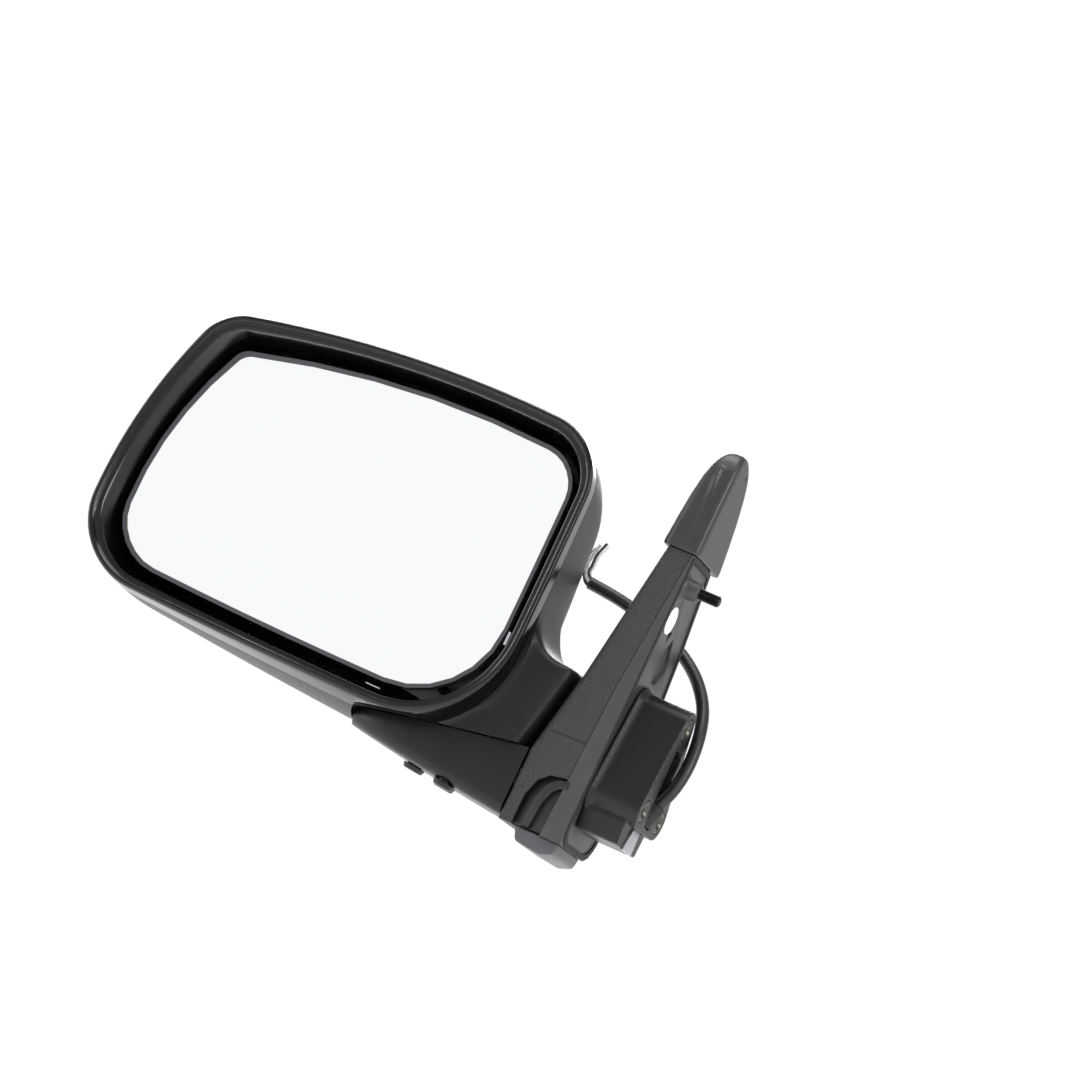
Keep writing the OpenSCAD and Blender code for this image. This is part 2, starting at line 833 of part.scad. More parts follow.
module actuator_body() {
    color("#26262a") difference() {
        union() {
            difference() {
                along_y(drive_y, drive_y + drive_d) drive_square(0);
                along_y(drive_y + 2.5, drive_y + drive_d + 1) drive_square(2.2);
            }
            for (s = drive_screws) rod_y(s[0], s[1], drive_y + 1, drive_y + drive_d, 4);
            // ears that carry the gimbal
            for (s = [-1, 1]) at_gimbal() translate([s * (ear_x + ear_t / 2) - ear_t / 2, -4, -5])
                cube([ear_t, 8.5 + 4 + 1, 10]);
        }
        for (s = drive_screws) rod_y(s[0], s[1], drive_y + 4, far, 1.5);
        at_gimbal() rod_x(0, 0, -30, 30, pin_r + run_gap);
        rod_y(head_x, head_z + jack_r, -far, drive_y + 10, screw_r + 0.1);
        rod_y(head_x + jack_r, head_z, -far, drive_y + 10, screw_r + 0.1);
    }
}

module actuator_cover() {
    color("#2c2c30") difference() {
        along_y(drive_y + drive_d, frame_y) drive_square(0);
        for (s = drive_screws) rod_y(s[0], s[1], -far, far, 1.7);
    }
}

module actuator_screws() {
    color("#c4c5c7") for (s = drive_screws) {
        rod_y(s[0], s[1], drive_y + 6, frame_y + frame_t + 0.1, 1.45);
        rod_y(s[0], s[1], frame_y + frame_t, frame_y + frame_t + 2.2, 3.2);
    }
}

worm_off = jack_r - gear_r - worm_r - worm_gap;
drive_mid = gear_y + gear_w / 2;
module drive_motors() {
    color("#a7a8ab") {
        translate([head_x - 32, drive_mid, head_z + worm_off]) rotate([0, 90, 0])
            cylinder(h = 22, r = motor_r);
        translate([head_x + worm_off, drive_mid, head_z - 32]) cylinder(h = 22, r = motor_r);
    }
}

module drive_worms() {
    color("#e0ddd0") {
        translate([head_x - 10, drive_mid, head_z + worm_off]) rotate([0, 90, 0]) worm();
        translate([head_x + worm_off, drive_mid, head_z - 10]) worm();
    }
}

module worm() {
    cylinder(h = 16, r = 1.5);
    translate([0, 0, 3]) rotate_extrude() polygon([
        [0, 0], [worm_r - 1, 0],
        for (k = [0:4]) each [[worm_r, 0.6 + 2 * k], [worm_r, 1.2 + 2 * k], [worm_r - 1, 1.8 + 2 * k]],
        [worm_r - 1, 10.4], [0, 10.4]
    ]);
}

module gear(x, z) {
    teeth = 24;
    difference() {
        union() {
            along_y(gear_y, gear_y + gear_w) translate([x, z]) difference() {
                circle(r = gear_r);
                for (k = [0:teeth - 1]) rotate(360 * k / teeth) translate([gear_r, 0])
                    polygon([[0.5, 0.75], [0.5, -0.75], [-1, -0.35], [-1, 0.35]]);
            }
            rod_y(x, z, drive_y + 2.8, gear_y + gear_w + 2, 5);
        }
        rod_y(x, z, -far, far, screw_r + run_gap);
    }
}

module tilt_gear() {
    color("#e6e3d6") gear(head_x, head_z + jack_r);
}

module pan_gear() {
    color("#e6e3d6") gear(head_x + jack_r, head_z);
}

module jack(x, z) {
    rod_y(x, z, pivot_y + 4.5, drive_y + drive_d - 1.2 - jack_travel, screw_r);
    rod_y(x, z, pivot_y, pivot_y + 5, 2);
    translate([x, pivot_y, z]) sphere(r = ball_r);
}

module tilt_jack() {
    color("#d9d6c8") jack(head_x, head_z + jack_r);
}

module pan_jack() {
    color("#d9d6c8") jack(head_x + jack_r, head_z);
}

module gimbal_ring() {
    color("#cfcbbd") at_gimbal() {
        rotate([90, 0, 0]) rotate_extrude() translate([ring_r - 3, -2.5]) square([3, 5]);
        for (a = [0, 90, 180, 270]) rotate([0, a, 0]) rod_x(0, 0, ring_r - 1.5, ear_x + ear_t, pin_r);
    }
}

module glass_holder() {
    color("#4a4b4e") {
        difference() {
            union() {
                difference() {
                    along_y(glass_y - 0.8, tray_back) polygon(head_outline(0, glass_margin));
                    along_y(glass_y - 2, glass_y + glass_t + 0.4)
                        polygon(head_outline(0, glass_margin + 2));
                }
                // ball cups and bearing ears
                for (c = [[0, jack_r], [jack_r, 0]])
                    rod_y(head_x + c[0], head_z + c[1], tray_back - 1, pivot_y + 2, ball_r + ball_play + 2);
                for (s = [-1, 1])
                    translate([head_x - 5, tray_back - 1, head_z + s * (ear_x + ear_t / 2) - ear_t / 2])
                        cube([10, pivot_y + 4 - tray_back + 1, ear_t]);
            }
            for (c = [[0, jack_r], [jack_r, 0]])
                rod_y(head_x + c[0], head_z + c[1], tray_back + 0.5, far, ball_r + ball_play);
            at_gimbal() translate([0, 0, -30]) cylinder(h = 60, r = pin_r + run_gap);
        }
    }
}

module heater_pad() {
    color("#1f1f20") along_y(glass_y + glass_t, glass_y + glass_t + 0.4)
        polygon(head_outline(0, glass_margin + 4));
}

module mirror_glass() {
    color("#f6f8fa") along_y(glass_y, glass_y + glass_t) polygon(head_outline(0, glass_margin + 2.2));
}

// Lead from the pivot's tube to the glass drive, held along the frame
lead_route = [
    [-79, -12, -44], [-80.5, -11, -37], [-84, -7, -32], [-93, -1, -31], [-104.5, 4, -26],
    [-108, 8, -16], [-112, 10, -6], [-120, 10, 2], [-134, 10, 6]
];
module head_harness() {
    color("#19191a") tube(smooth_route(lead_route, 2), 2.5, 8);
}

mounting_plate();
door_gasket();
lower_seal();
sail_cover();
top_boot();
base_bracket();
arm_cover();
arm_plugs();
boss_housing();
boss_inserts();
locating_stud();
cable_gland();
harness_cable();
harness_wires();
round_sticker();
fold_spring();
detent_ring();
bracket_screws();
head_frame();
pivot_tube();
spring_retainer();
head_housing();
chrome_cap();
rim_bezel();
indicator_surround();
indicator_lens();
indicator_reflector();
indicator_board();
actuator_body();
actuator_cover();
drive_motors();
drive_worms();
actuator_screws();
bezel_clips();
head_harness();
gimbal_ring();
tilt_jack();
pan_jack();
tilt_gear();
pan_gear();
glass_holder();
heater_pad();
mirror_glass();
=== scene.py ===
import math
import bpy
import bmesh
from mathutils import Vector, Matrix


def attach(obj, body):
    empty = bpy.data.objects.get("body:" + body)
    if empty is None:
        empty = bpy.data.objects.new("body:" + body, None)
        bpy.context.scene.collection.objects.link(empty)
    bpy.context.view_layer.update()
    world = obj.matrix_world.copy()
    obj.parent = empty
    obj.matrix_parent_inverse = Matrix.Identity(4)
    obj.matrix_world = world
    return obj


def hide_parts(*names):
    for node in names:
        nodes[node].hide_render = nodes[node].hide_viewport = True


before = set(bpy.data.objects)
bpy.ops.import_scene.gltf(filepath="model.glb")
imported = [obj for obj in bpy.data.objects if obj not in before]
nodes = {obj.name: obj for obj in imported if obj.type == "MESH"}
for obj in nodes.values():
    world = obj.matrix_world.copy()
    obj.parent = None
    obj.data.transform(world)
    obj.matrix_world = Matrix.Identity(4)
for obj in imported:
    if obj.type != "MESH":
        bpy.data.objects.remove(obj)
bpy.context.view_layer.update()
MM = 0.001

# ---------------------------------------------------------------- Camera
# A long lens a little below the mirror and to its inner side. The camera is
# rolled, so that the mirror stands turned clockwise in the picture.
CAMERA_AIM = Vector((-0.077, -0.030, 0.057))
CAMERA_AZIMUTH = math.radians(18)
CAMERA_ELEVATION = math.radians(-6.5)
CAMERA_DISTANCE = 2.4
CAMERA_ROLL = math.radians(25.3)
camera_data = bpy.data.cameras.new("camera")
camera_data.lens = 160
camera_data.clip_start = 0.01
camera = bpy.data.objects.new("camera", camera_data)
bpy.context.scene.collection.objects.link(camera)
camera_back = Vector((
    math.sin(CAMERA_AZIMUTH) * math.cos(CAMERA_ELEVATION),
    -math.cos(CAMERA_AZIMUTH) * math.cos(CAMERA_ELEVATION),
    math.sin(CAMERA_ELEVATION),
))
camera.location = CAMERA_AIM + camera_back * CAMERA_DISTANCE
camera_turn = (-camera_back).to_track_quat("-Z", "Y").to_matrix() @ Matrix.Rotation(CAMERA_ROLL, 3, "Z")
camera.rotation_mode = "QUATERNION"
camera.rotation_quaternion = camera_turn.to_quaternion()
bpy.context.scene.camera = camera

# ---------------------------------------------------------------- Harness lead
# The lead that feeds the glass motors and the side indicator: a soft PVC
# sheath, 6.6 mm across, that leaves the dome of the bolt housing, passes the
# plate's front edge and ends bare, with its sheath cut square.
LEAD_ROUTE = [
    (28, 2, -38), (31.6, 3, -27), (32.6, 5, -13), (29.8, 9.5, 3), (23, 18, 17), (12, 27, 29),
    (-1, 35, 38), (-14, 40, 44), (-29, 42, 49), (-46, 40, 53), (-65, 38, 55),
]
LEAD_RADIUS = 3.3 * MM


def tone(hex_code):
    """An sRGB colour such as #1c1c1e as linear RGBA."""
    parts = [int(hex_code[i:i + 2], 16) / 255 for i in (1, 3, 5)]
    return [p / 12.92 if p < 0.04045 else ((p + 0.055) / 1.055) ** 2.4 for p in parts] + [1.0]


def add(tree, kind, settings=None, inputs=None):
    """Adds a node with its settings, and links or sets its inputs."""
    made = tree.nodes.new(kind)
    for key, value in (settings or {}).items():
        setattr(made, key, value)
    for key, value in (inputs or {}).items():
        if isinstance(value, bpy.types.NodeSocket):
            tree.links.new(value, made.inputs[key])
        else:
            made.inputs[key].default_value = value
    return made


def begin(name, colour, roughness, **sockets):
    """A new material of one Principled shader, and its node tree."""
    made = bpy.data.materials.new(name)
    made.use_nodes = True
    shader = made.node_tree.nodes["Principled BSDF"]
    shader.inputs["Base Color"].default_value = tone(colour)
    shader.inputs["Roughness"].default_value = roughness
    for key, value in sockets.items():
        shader.inputs[key.replace("_", " ")].default_value = value
    return made, made.node_tree, shader


def smooth_route(route, steps):
    """Points on a smooth curve through the route's points, in metres."""
    pts = [Vector(p) * MM for p in route]
    out = []
    for i in range(len(pts) - 1):
        a, b, c, d = pts[max(i - 1, 0)], pts[i], pts[i + 1], pts[min(i + 2, len(pts) - 1)]
        h, k = b + (c - a) / 6, c - (d - b) / 6
        for j in range(steps):
            t = j / steps
            out.append(b * (1 - t) ** 3 + h * 3 * t * (1 - t) ** 2 + k * 3 * t * t * (1 - t) + c * t ** 3)
    return out + [pts[-1]]


def tube(name, path, radius, sides=20):
    """A closed round tube along a path."""
    mesh = bpy.data.meshes.new(name)
    verts, faces = [], []
    side = None
    for i, p in enumerate(path):
        ahead = (path[min(i + 1, len(path) - 1)] - path[max(i - 1, 0)]).normalized()
        if side is None:
            side = ahead.cross(Vector((0.3, 1, 0.2))).normalized()
        side = (side - ahead * side.dot(ahead)).normalized()
        other = ahead.cross(side)
        for k in range(sides):
            w = 2 * math.pi * k / sides
            verts.append(p + radius * (side * math.cos(w) + other * math.sin(w)))
    for i in range(len(path) - 1):
        for k in range(sides):
            n = (k + 1) % sides
            faces.append((i * sides + k, i * sides + n, (i + 1) * sides + n, (i + 1) * sides + k))
    faces.append(tuple(range(sides))[::-1])
    faces.append(tuple((len(path) - 1) * sides + k for k in range(sides)))
    mesh.from_pydata(verts, [], faces)
    made = bpy.data.objects.new(name, mesh)
    bpy.context.scene.collection.objects.link(made)
    return made


def only(piece):
    """Leaves this piece alone selected and active."""
    bpy.ops.object.select_all(action="DESELECT")
    piece.select_set(True)
    bpy.context.view_layer.objects.active = piece


def wear(piece, material):
    """Gives the whole piece one material."""
    piece.data.materials.clear()
    piece.data.materials.append(material)


lead_path = smooth_route(LEAD_ROUTE, 6)
lead = tube("lead_sheath", lead_path, LEAD_RADIUS)
only(lead)
bpy.ops.object.shade_smooth_by_angle(angle=math.radians(40))
# Soft PVC: satin, with faint drag marks from being pushed through grommets
lead_pvc, tree, shader = begin("soft_pvc_sheath", "#0d0d0e", 0.36, Specular_IOR_Level=0.45)
place = add(tree, "ShaderNodeTexCoord")
marks = add(
    tree, "ShaderNodeTexNoise", None, {"Vector": place.outputs["Object"], "Scale": 420.0, "Detail": 4.0},
)
rough = add(
    tree, "ShaderNodeMapRange", None, {"Value": marks.outputs["Fac"], "To Min": 0.34, "To Max": 0.52},
)
tree.links.new(rough.outputs["Result"], shader.inputs["Roughness"])
bump = add(
    tree, "ShaderNodeBump", None, {"Height": marks.outputs["Fac"], "Strength": 0.15, "Distance": 0.0002},
)
tree.links.new(bump.outputs["Normal"], shader.inputs["Normal"])
wear(lead, lead_pvc)
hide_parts("harness_cable")
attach(lead, "base")

# ---------------------------------------------------------------- Bare wires
# Six thin PVC-insulated wires, 1.6 mm across, fan out of the sheath's cut end
# and curve upwards.
WIRE_ROUTE = [(-65, 38, 55), (-68, 39, 57.5), (-69.6, 40, 62), (-70, 41, 68), (-68, 41.5, 75)]
WIRE_SPREAD = 2.1
WIRE_RADIUS = 0.8 * MM
WIRE_TINTS = ["#8e8f91", "#e9e9e7", "#3a3a3c", "#b9b9ba", "#1b1b1c", "#d8d8d6"]
for k in range(6):
    turn = math.radians(60 * k)
    fan = []
    for i, p in enumerate(WIRE_ROUTE):
        g = WIRE_SPREAD if i == 0 else WIRE_SPREAD * (1 + 0.35 * i)
        fan.append((
            p[0] + 0.15 + (0 if i < 2 else 0.5 * g * math.sin(turn)),
            p[1] + g * math.cos(turn),
            p[2] + g * math.sin(turn) * (1 if i < 2 else 0.5),
        ))
    path = smooth_route(fan, 6)
    wire = tube(f"lead_wire_{k + 1}", path, WIRE_RADIUS, 14)
    only(wire)
    bpy.ops.object.shade_smooth_by_angle(angle=math.radians(40))
    # Thin PVC insulation, glossier than the sheath
    insulation, tree, shader = begin(f"wire_pvc_{k + 1}", WIRE_TINTS[k], 0.32)
    place = add(tree, "ShaderNodeTexCoord")
    dull = add(tree, "ShaderNodeTexNoise", None, {"Vector": place.outputs["Object"], "Scale": 900.0})
    rough = add(
        tree, "ShaderNodeMapRange", None, {"Value": dull.outputs["Fac"], "To Min": 0.26, "To Max": 0.42},
    )
    tree.links.new(rough.outputs["Result"], shader.inputs["Roughness"])
    wear(wire, insulation)
    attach(wire, "base")
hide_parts("harness_wires")

# ---------------------------------------------------------------- Stage
# A plain white floor well below the mirror and a white surround that is
# brightest round the horizon, so that chrome and black plastic both keep
# their shapes, with soft panels above, inboard and in front.
bpy.ops.object.select_all(action="DESELECT")
bpy.ops.mesh.primitive_plane_add(size=40, location=(0, 0, -0.4))
floor = bpy.context.object
floor.name = "floor"
floor_paint, tree, shader = begin("white_floor", "#fbfbfb", 0.9)
shader.inputs["Emission Color"].default_value = (1, 1, 1, 1)
shader.inputs["Emission Strength"].default_value = 0.55
wear(floor, floor_paint)
surround = bpy.data.worlds.new("white_surround")
bpy.context.scene.world = surround
surround.use_nodes = True
tree = surround.node_tree
sky = tree.nodes["Background"]
place = add(tree, "ShaderNodeTexCoord")
parts = add(tree, "ShaderNodeSeparateXYZ", None, {"Vector": place.outputs["Generated"]})
level = add(
    tree, "ShaderNodeMapRange", None, {"Value": parts.outputs["Z"], "From Min": -1.0, "From Max": 1.0},
)
fade = add(tree, "ShaderNodeValToRGB", None, {"Fac": level.outputs["Result"]})
fade.color_ramp.elements[0].position = 0.0
fade.color_ramp.elements[0].color = (0.12, 0.12, 0.12, 1)
fade.color_ramp.elements[1].position = 1.0
fade.color_ramp.elements[1].color = (0.75, 0.75, 0.75, 1)
for spot, grey in ((0.3, 0.2), (0.44, 0.8), (0.5, 1.0), (0.66, 1.0), (0.8, 0.5)):
    stop = fade.color_ramp.elements.new(spot)
    stop.color = (grey, grey, grey, 1)
straight = add(tree, "ShaderNodeLightPath")
seen = add(
    tree, "ShaderNodeMix", {"data_type": "RGBA"},
    {0: straight.outputs["Is Camera Ray"], 6: fade.outputs["Color"]},
)
seen.inputs[7].default_value = (1.02, 1.02, 1.02, 1)
tree.links.new(seen.outputs[2], sky.inputs["Color"])
sky.inputs["Strength"].default_value = 1.0


def panel(name, spot, aim, size, power):
    data = bpy.data.lights.new(name, "AREA")
    data.shape = "RECTANGLE"
    data.size, data.size_y = size
    data.energy = power
    made = bpy.data.objects.new(name, data)
    bpy.context.scene.collection.objects.link(made)
    made.location = spot
    made.rotation_mode = "QUATERNION"
    made.rotation_quaternion = (Vector(spot) - Vector(aim)).to_track_quat("Z", "Y")


panel("light_top", (-0.25, -0.2, 1.0), (-0.12, 0, 0), (0.9, 0.5), 10)
panel("light_inner", (0.9, -0.5, 0.45), (-0.05, 0, 0), (0.25, 0.8), 9)
panel("light_front", (-0.5, 0.9, 0.5), (-0.15, 0, 0), (0.8, 0.4), 8)
panel("light_outer", (-1.1, -0.5, 0.1), (-0.2, 0, 0), (0.25, 0.7), 4)
bpy.context.scene.view_settings.view_transform = "Standard"

# ---------------------------------------------------------------- Rear rim
# The bezel round the glass: a glossy black ABS moulding with a rounded lip
# 3 mm wide, a small step inside it and a deep well down to the glass. It is
# clipped to the housing behind it.
HEAD_W, HEAD_H, HEAD_D = 237, 167, 100
HEAD_GAP, HEAD_TOP = 60, 115
HEAD_BOTTOM = HEAD_TOP - HEAD_H
RIM_Y, BEZEL_Y = -45, -33
PIVOT = Vector((-78, -12, -47)) * MM
FOLD_LEAN = math.radians(10)


def dome(t, n):
    return 1 - math.sqrt(max(0, 1 - t ** n))


def mix(a, b, t):
    return a + (b - a) * t


def bowed_outline(corners, bows, cuts, side_steps=16, corner_steps=14):
    """A closed outline with four bowed sides and four rounded corners."""
    pts = [Vector(c) for c in corners]

    def middle(a, b, bow):
        side = Vector((a.y - b.y, b.x - a.x)).normalized()
        return (a + b) / 2 + 2 * bow * side

    def along(a, m, b, t):
        return a.lerp(m, t).lerp(m.lerp(b, t), t)

    out = []
    for i in range(4):
        a, b, c = pts[i], pts[(i + 1) % 4], pts[(i + 2) % 4]
        m, n = middle(a, b, bows[i]), middle(b, c, bows[(i + 1) % 4])
        cut = cuts[(i + 1) % 4]
        start, stop, follow = cuts[i] / (b - a).length, 1 - cut / (b - a).length, cut / (c - b).length
        p, q = along(a, m, b, stop), along(b, n, c, follow)
        h = p + (m.lerp(b, stop) - a.lerp(m, stop)).normalized() * cut * 0.56
        k = q - (n.lerp(c, follow) - b.lerp(n, follow)).normalized() * cut * 0.56
        out += [along(a, m, b, mix(start, stop, j / side_steps)) for j in range(side_steps + 1)]
        for j in range(1, corner_steps + 1):
            t = j / (corner_steps + 1)
            out.append(p * (1 - t) ** 3 + h * 3 * t * (1 - t) ** 2 + k * 3 * t * t * (1 - t) + q * t ** 3)
    return out


def head_outline(t, skin=0.0, proud=0.0):
    """The head's outline at depth t, 0 at the rim and 1 at the nose."""
    spare_w, spare_h = HEAD_W - 44, HEAD_H - 34
    sag = 16 * math.sin(math.pi * min(1, t / 0.95))
    inner = 0.3 * spare_w * dome(t, 7) + skin
    outer = 8 * t + (0.7 * spare_w - 8) * dome(t, 2.6) + skin - proud
    upper = 2 * t + 0.55 * spare_h * dome(t, 3) + skin
    lower = 0.45 * spare_h * dome(t, 3.2) + skin
    corners = [
        (-HEAD_GAP - HEAD_W + 18.5 + outer, HEAD_TOP - 15.5 - upper),
        (-HEAD_GAP - 10 * t - inner, HEAD_TOP - 1 - upper),
        (-HEAD_GAP + 4 * t - inner, HEAD_BOTTOM - sag + lower),
        (-HEAD_GAP - HEAD_W + outer, HEAD_BOTTOM + 4 - sag / 8 + lower),
    ]
    cuts = [mix(max(c - 0.8 * skin, 4), 12, dome(t, 3)) for c in (14, 30, 58, 36)]
    bows = [b * (1 - 0.8 * dome(t, 3)) for b in (9, 0.6, 2, 10.5)]
    return bowed_outline(corners, bows, cuts)


def ring_at(skin, y, proud=0.0):
    """The head's outline, set in by skin, on the plane at that depth."""
    t = min(1.0, max(0.0, (y - RIM_Y) / HEAD_D))
    return [Vector((p.x, y, p.y)) * MM for p in head_outline(t, skin, proud * t)]


def skinned(name, rings, closed=False):
    """A mesh skinned over rings of points: capped at both ends, or closed on itself."""
    mesh = bpy.data.meshes.new(name)
    n, m = len(rings[0]), len(rings)
    faces = []
    for j in range(m if closed else m - 1):
        a, b = j * n, ((j + 1) % m) * n
        for i in range(n):
            k = (i + 1) % n
            faces.append((a + i, a + k, b + k, b + i))
    if not closed:
        faces.append(tuple(range(n))[::-1])
        faces.append(tuple((m - 1) * n + i for i in range(n)))
    mesh.from_pydata([p for r in rings for p in r], [], faces)
    made = bpy.data.objects.new(name, mesh)
    bpy.context.scene.collection.objects.link(made)
    only(made)
    bpy.ops.object.mode_set(mode="EDIT")
    bpy.ops.mesh.select_all(action="SELECT")
    bpy.ops.mesh.normals_make_consistent(inside=False)
    bpy.ops.object.mode_set(mode="OBJECT")
    return made


def carve(piece, cutter, action="DIFFERENCE", keep=False):
    """Cuts, joins or intersects the piece with the cutter, which is then removed."""
    only(piece)
    step = piece.modifiers.new("carve", "BOOLEAN")
    step.operation = action
    step.solver = "MANIFOLD"
    step.object = cutter
    bpy.ops.object.modifier_apply(modifier=step.name)
    if not keep:
        bpy.data.objects.remove(cutter)


def block(low, high):
    """A box between two corners, in millimetres."""
    bpy.ops.object.select_all(action="DESELECT")
    bpy.ops.mesh.primitive_cube_add(size=1, location=[(a + b) / 2 * MM for a, b in zip(low, high)])
    made = bpy.context.object
    made.scale = [(b - a) * MM for a, b in zip(low, high)]
    bpy.ops.object.transform_apply(location=True, rotation=True, scale=True)
    return made


def arm_room(grow, sides=160):
    """The drum below the seam, about the fold axis, that the arm's end turns in."""
    up = Vector((-math.sin(FOLD_LEAN), 0, math.cos(FOLD_LEAN)))
    bpy.ops.object.select_all(action="DESELECT")
    bpy.ops.mesh.primitive_cylinder_add(
        vertices=sides, radius=(55.2 + grow) * MM, depth=0.1, rotation=(0, -FOLD_LEAN, 0),
        location=PIVOT + up * ((0.4 + grow) * MM - 0.05),
    )
    made = bpy.context.object
    bpy.ops.object.transform_apply(location=True, rotation=True, scale=True)
    return made


def finish_edges(piece, angle=35, width=0.0, limit=40, segments=2):
    """Rounds the piece's edges slightly and shades its curved faces smooth."""
    only(piece)
    if width:
        round_over = piece.modifiers.new("round", "BEVEL")
        round_over.width = width * MM
        round_over.segments = segments
        round_over.limit_method = "ANGLE"
        round_over.angle_limit = math.radians(limit)
        round_over.harden_normals = False
        bpy.ops.object.modifier_apply(modifier=round_over.name)
    bpy.ops.object.shade_smooth_by_angle(angle=math.radians(angle))


rim_profile = [
    (0.0, -33.3), (0.0, -36), (0.0, -39), (0.0, -41.5), (0.02, -43.0), (0.16, -43.9), (0.5, -44.55),
    (1.0, -44.9), (1.6, -45.0), (2.2, -44.9), (2.75, -44.5), (3.05, -43.9), (3.2, -43.2), (3.5, -42.9),
    (4.2, -42.8), (5.4, -42.6), (5.9, -42.3), (6.15, -41.6), (6.5, -39), (7.2, -35), (8.1, -30),
    (9.0, -25), (9.0, -23.2), (8.8, -23.0), (7.0, -23.0), (6.8, -23.2), (6.6, -25), (6.0, -30),
    (5.0, -36), (4.4, -40.6), (3.4, -41.0), (2.6, -40.0), (2.4, -37), (2.4, -33.3),
]
rim = skinned("rear_rim", [ring_at(skin, y) for skin, y in rim_profile], closed=True)
carve(rim, arm_room(0))
finish_edges(rim, 32)
# Injection-moulded ABS from a polished tool: deep gloss with a faint ripple
gloss_abs, tree, shader = begin("gloss_black_abs", "#040405", 0.2, IOR=1.54, Specular_IOR_Level=0.3)
place = add(tree, "ShaderNodeTexCoord")
ripple = add(
    tree, "ShaderNodeTexNoise", None, {"Vector": place.outputs["Object"], "Scale": 60.0, "Detail": 2.0},
)
haze = add(
    tree, "ShaderNodeTexNoise", None, {"Vector": place.outputs["Object"], "Scale": 1400.0, "Detail": 2.0},
)
rough = add(
    tree, "ShaderNodeMapRange", None, {"Value": haze.outputs["Fac"], "To Min": 0.12, "To Max": 0.22},
)
tree.links.new(rough.outputs["Result"], shader.inputs["Roughness"])
bump = add(
    tree, "ShaderNodeBump", None, {"Height": ripple.outputs["Fac"], "Strength": 0.12, "Distance": 0.0004},
)
tree.links.new(bump.outputs["Normal"], shader.inputs["Normal"])
wear(rim, gloss_abs)
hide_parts("rim_bezel")
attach(rim, "head")

# ---------------------------------------------------------------- Head housing
# The main shell: black ASA with a fine moulded grain, 2.4 mm thick. It covers
# the inner side, the underside and the lower front, and flows into the neck
# that turns on the arm.
DEPTHS = [math.sin(math.pi / 2 * j / 34) for j in range(35)]


def head_solid(name, skin, proud=0.0, rear=RIM_Y):
    rings = []
    for t in DEPTHS:
        y = RIM_Y + t * (HEAD_D - skin)
        if y < rear:
            continue
        rings.append([Vector((p.x, y, p.y)) * MM for p in head_outline(t, skin, proud * t)])
    return skinned(name, rings)


def prism_y(name, outline, low, high):
    """An outline in X and Z drawn out along Y, in millimetres."""
    return skinned(name, [[Vector((x, y, z)) * MM for x, z in outline] for y in (low, high)])


def neck_solid(name, skin):
    """The neck: a rounded block inside a cone that stands on the seam."""
    up = Vector((-math.sin(FOLD_LEAN), 0, math.cos(FOLD_LEAN)))
    spread = math.tan(math.radians(21.4))
    outline = [(-130, 30 - skin), (-66, 34 - skin)]
    for j in range(13):
        t = j / 12
        outline.append((
            -57.5 * (1 - t) ** 2 - 52 * 2 * t * (1 - t) - 39.5 * t * t,
            16.4 * (1 - t) ** 2 + 5 * (1 - (1 - t) ** 2) - skin,
        ))
    outline += [(0, 5 - skin), (0, -100), (-130, -100)]
    made = prism_y(name, outline, -32 + skin, 20 - skin)
    bpy.ops.object.select_all(action="DESELECT")
    bpy.ops.mesh.primitive_cone_add(
        vertices=128, radius1=(40.6 - skin - 20 * spread) * MM, radius2=(40.6 - skin + 100 * spread) * MM,
        depth=0.12, rotation=(0, -FOLD_LEAN, 0), location=PIVOT + up * 0.04,
    )
    cone = bpy.context.object
    bpy.ops.object.transform_apply(location=True, rotation=True, scale=True)
    carve(made, cone, "INTERSECT")
    return made


def cap_room(gap):
    """Where the bright cap lies: forward of its rear edge and above its lower edge."""
    made = block((-600, BEZEL_Y + gap, 14 + gap), (600, 600, 600))
    slope = math.radians(-27)
    bpy.ops.object.select_all(action="DESELECT")
    bpy.ops.mesh.primitive_cube_add(size=2)
    wedge = bpy.context.object
    wedge.data.transform(Matrix.Translation((-1, 0, 0)))
    wedge.data.transform(Matrix.Rotation(slope, 4, "Z"))
    wedge.data.transform(Matrix.Translation(Vector((-94 - gap, BEZEL_Y, 0)) * MM))
    carve(made, wedge, "INTERSECT")
    return made


LENS_TIP = (-141, 19)


def lens_outline(grow, steps=22):
    a = Vector(LENS_TIP) + Vector((grow, 3))
    h = Vector(LENS_TIP) + Vector((-4 + grow, 18 + grow))
    k = Vector(LENS_TIP) + Vector((-60, 28 + grow))
    b = Vector((-285, 57 + grow))
    pts = [Vector((LENS_TIP[0] + grow, LENS_TIP[1] - grow))]
    for j in range(steps + 1):
        t = j / steps
        pts.append(a * (1 - t) ** 3 + h * 3 * t * (1 - t) ** 2 + k * 3 * t * t * (1 - t) + b * t ** 3)
    pts += [Vector((-317, 58 + grow)), Vector((-317, 22 - grow))]
    return [(p.x, p.y) for p in pts]


def lens_room(grow):
    return prism_y("lens_room", lens_outline(grow), BEZEL_Y + 4 - grow, 600)


housing = head_solid("head_housing_shell", 0)
carve(housing, neck_solid("neck", 0), "UNION")
carve(housing, cap_room(6))
only(housing)
housing.data.remesh_voxel_size = 0.0013
bpy.ops.object.voxel_remesh()
soften = housing.modifiers.new("soften", "SMOOTH")
soften.factor = 0.5
soften.iterations = 12
bpy.ops.object.modifier_apply(modifier=soften.name)
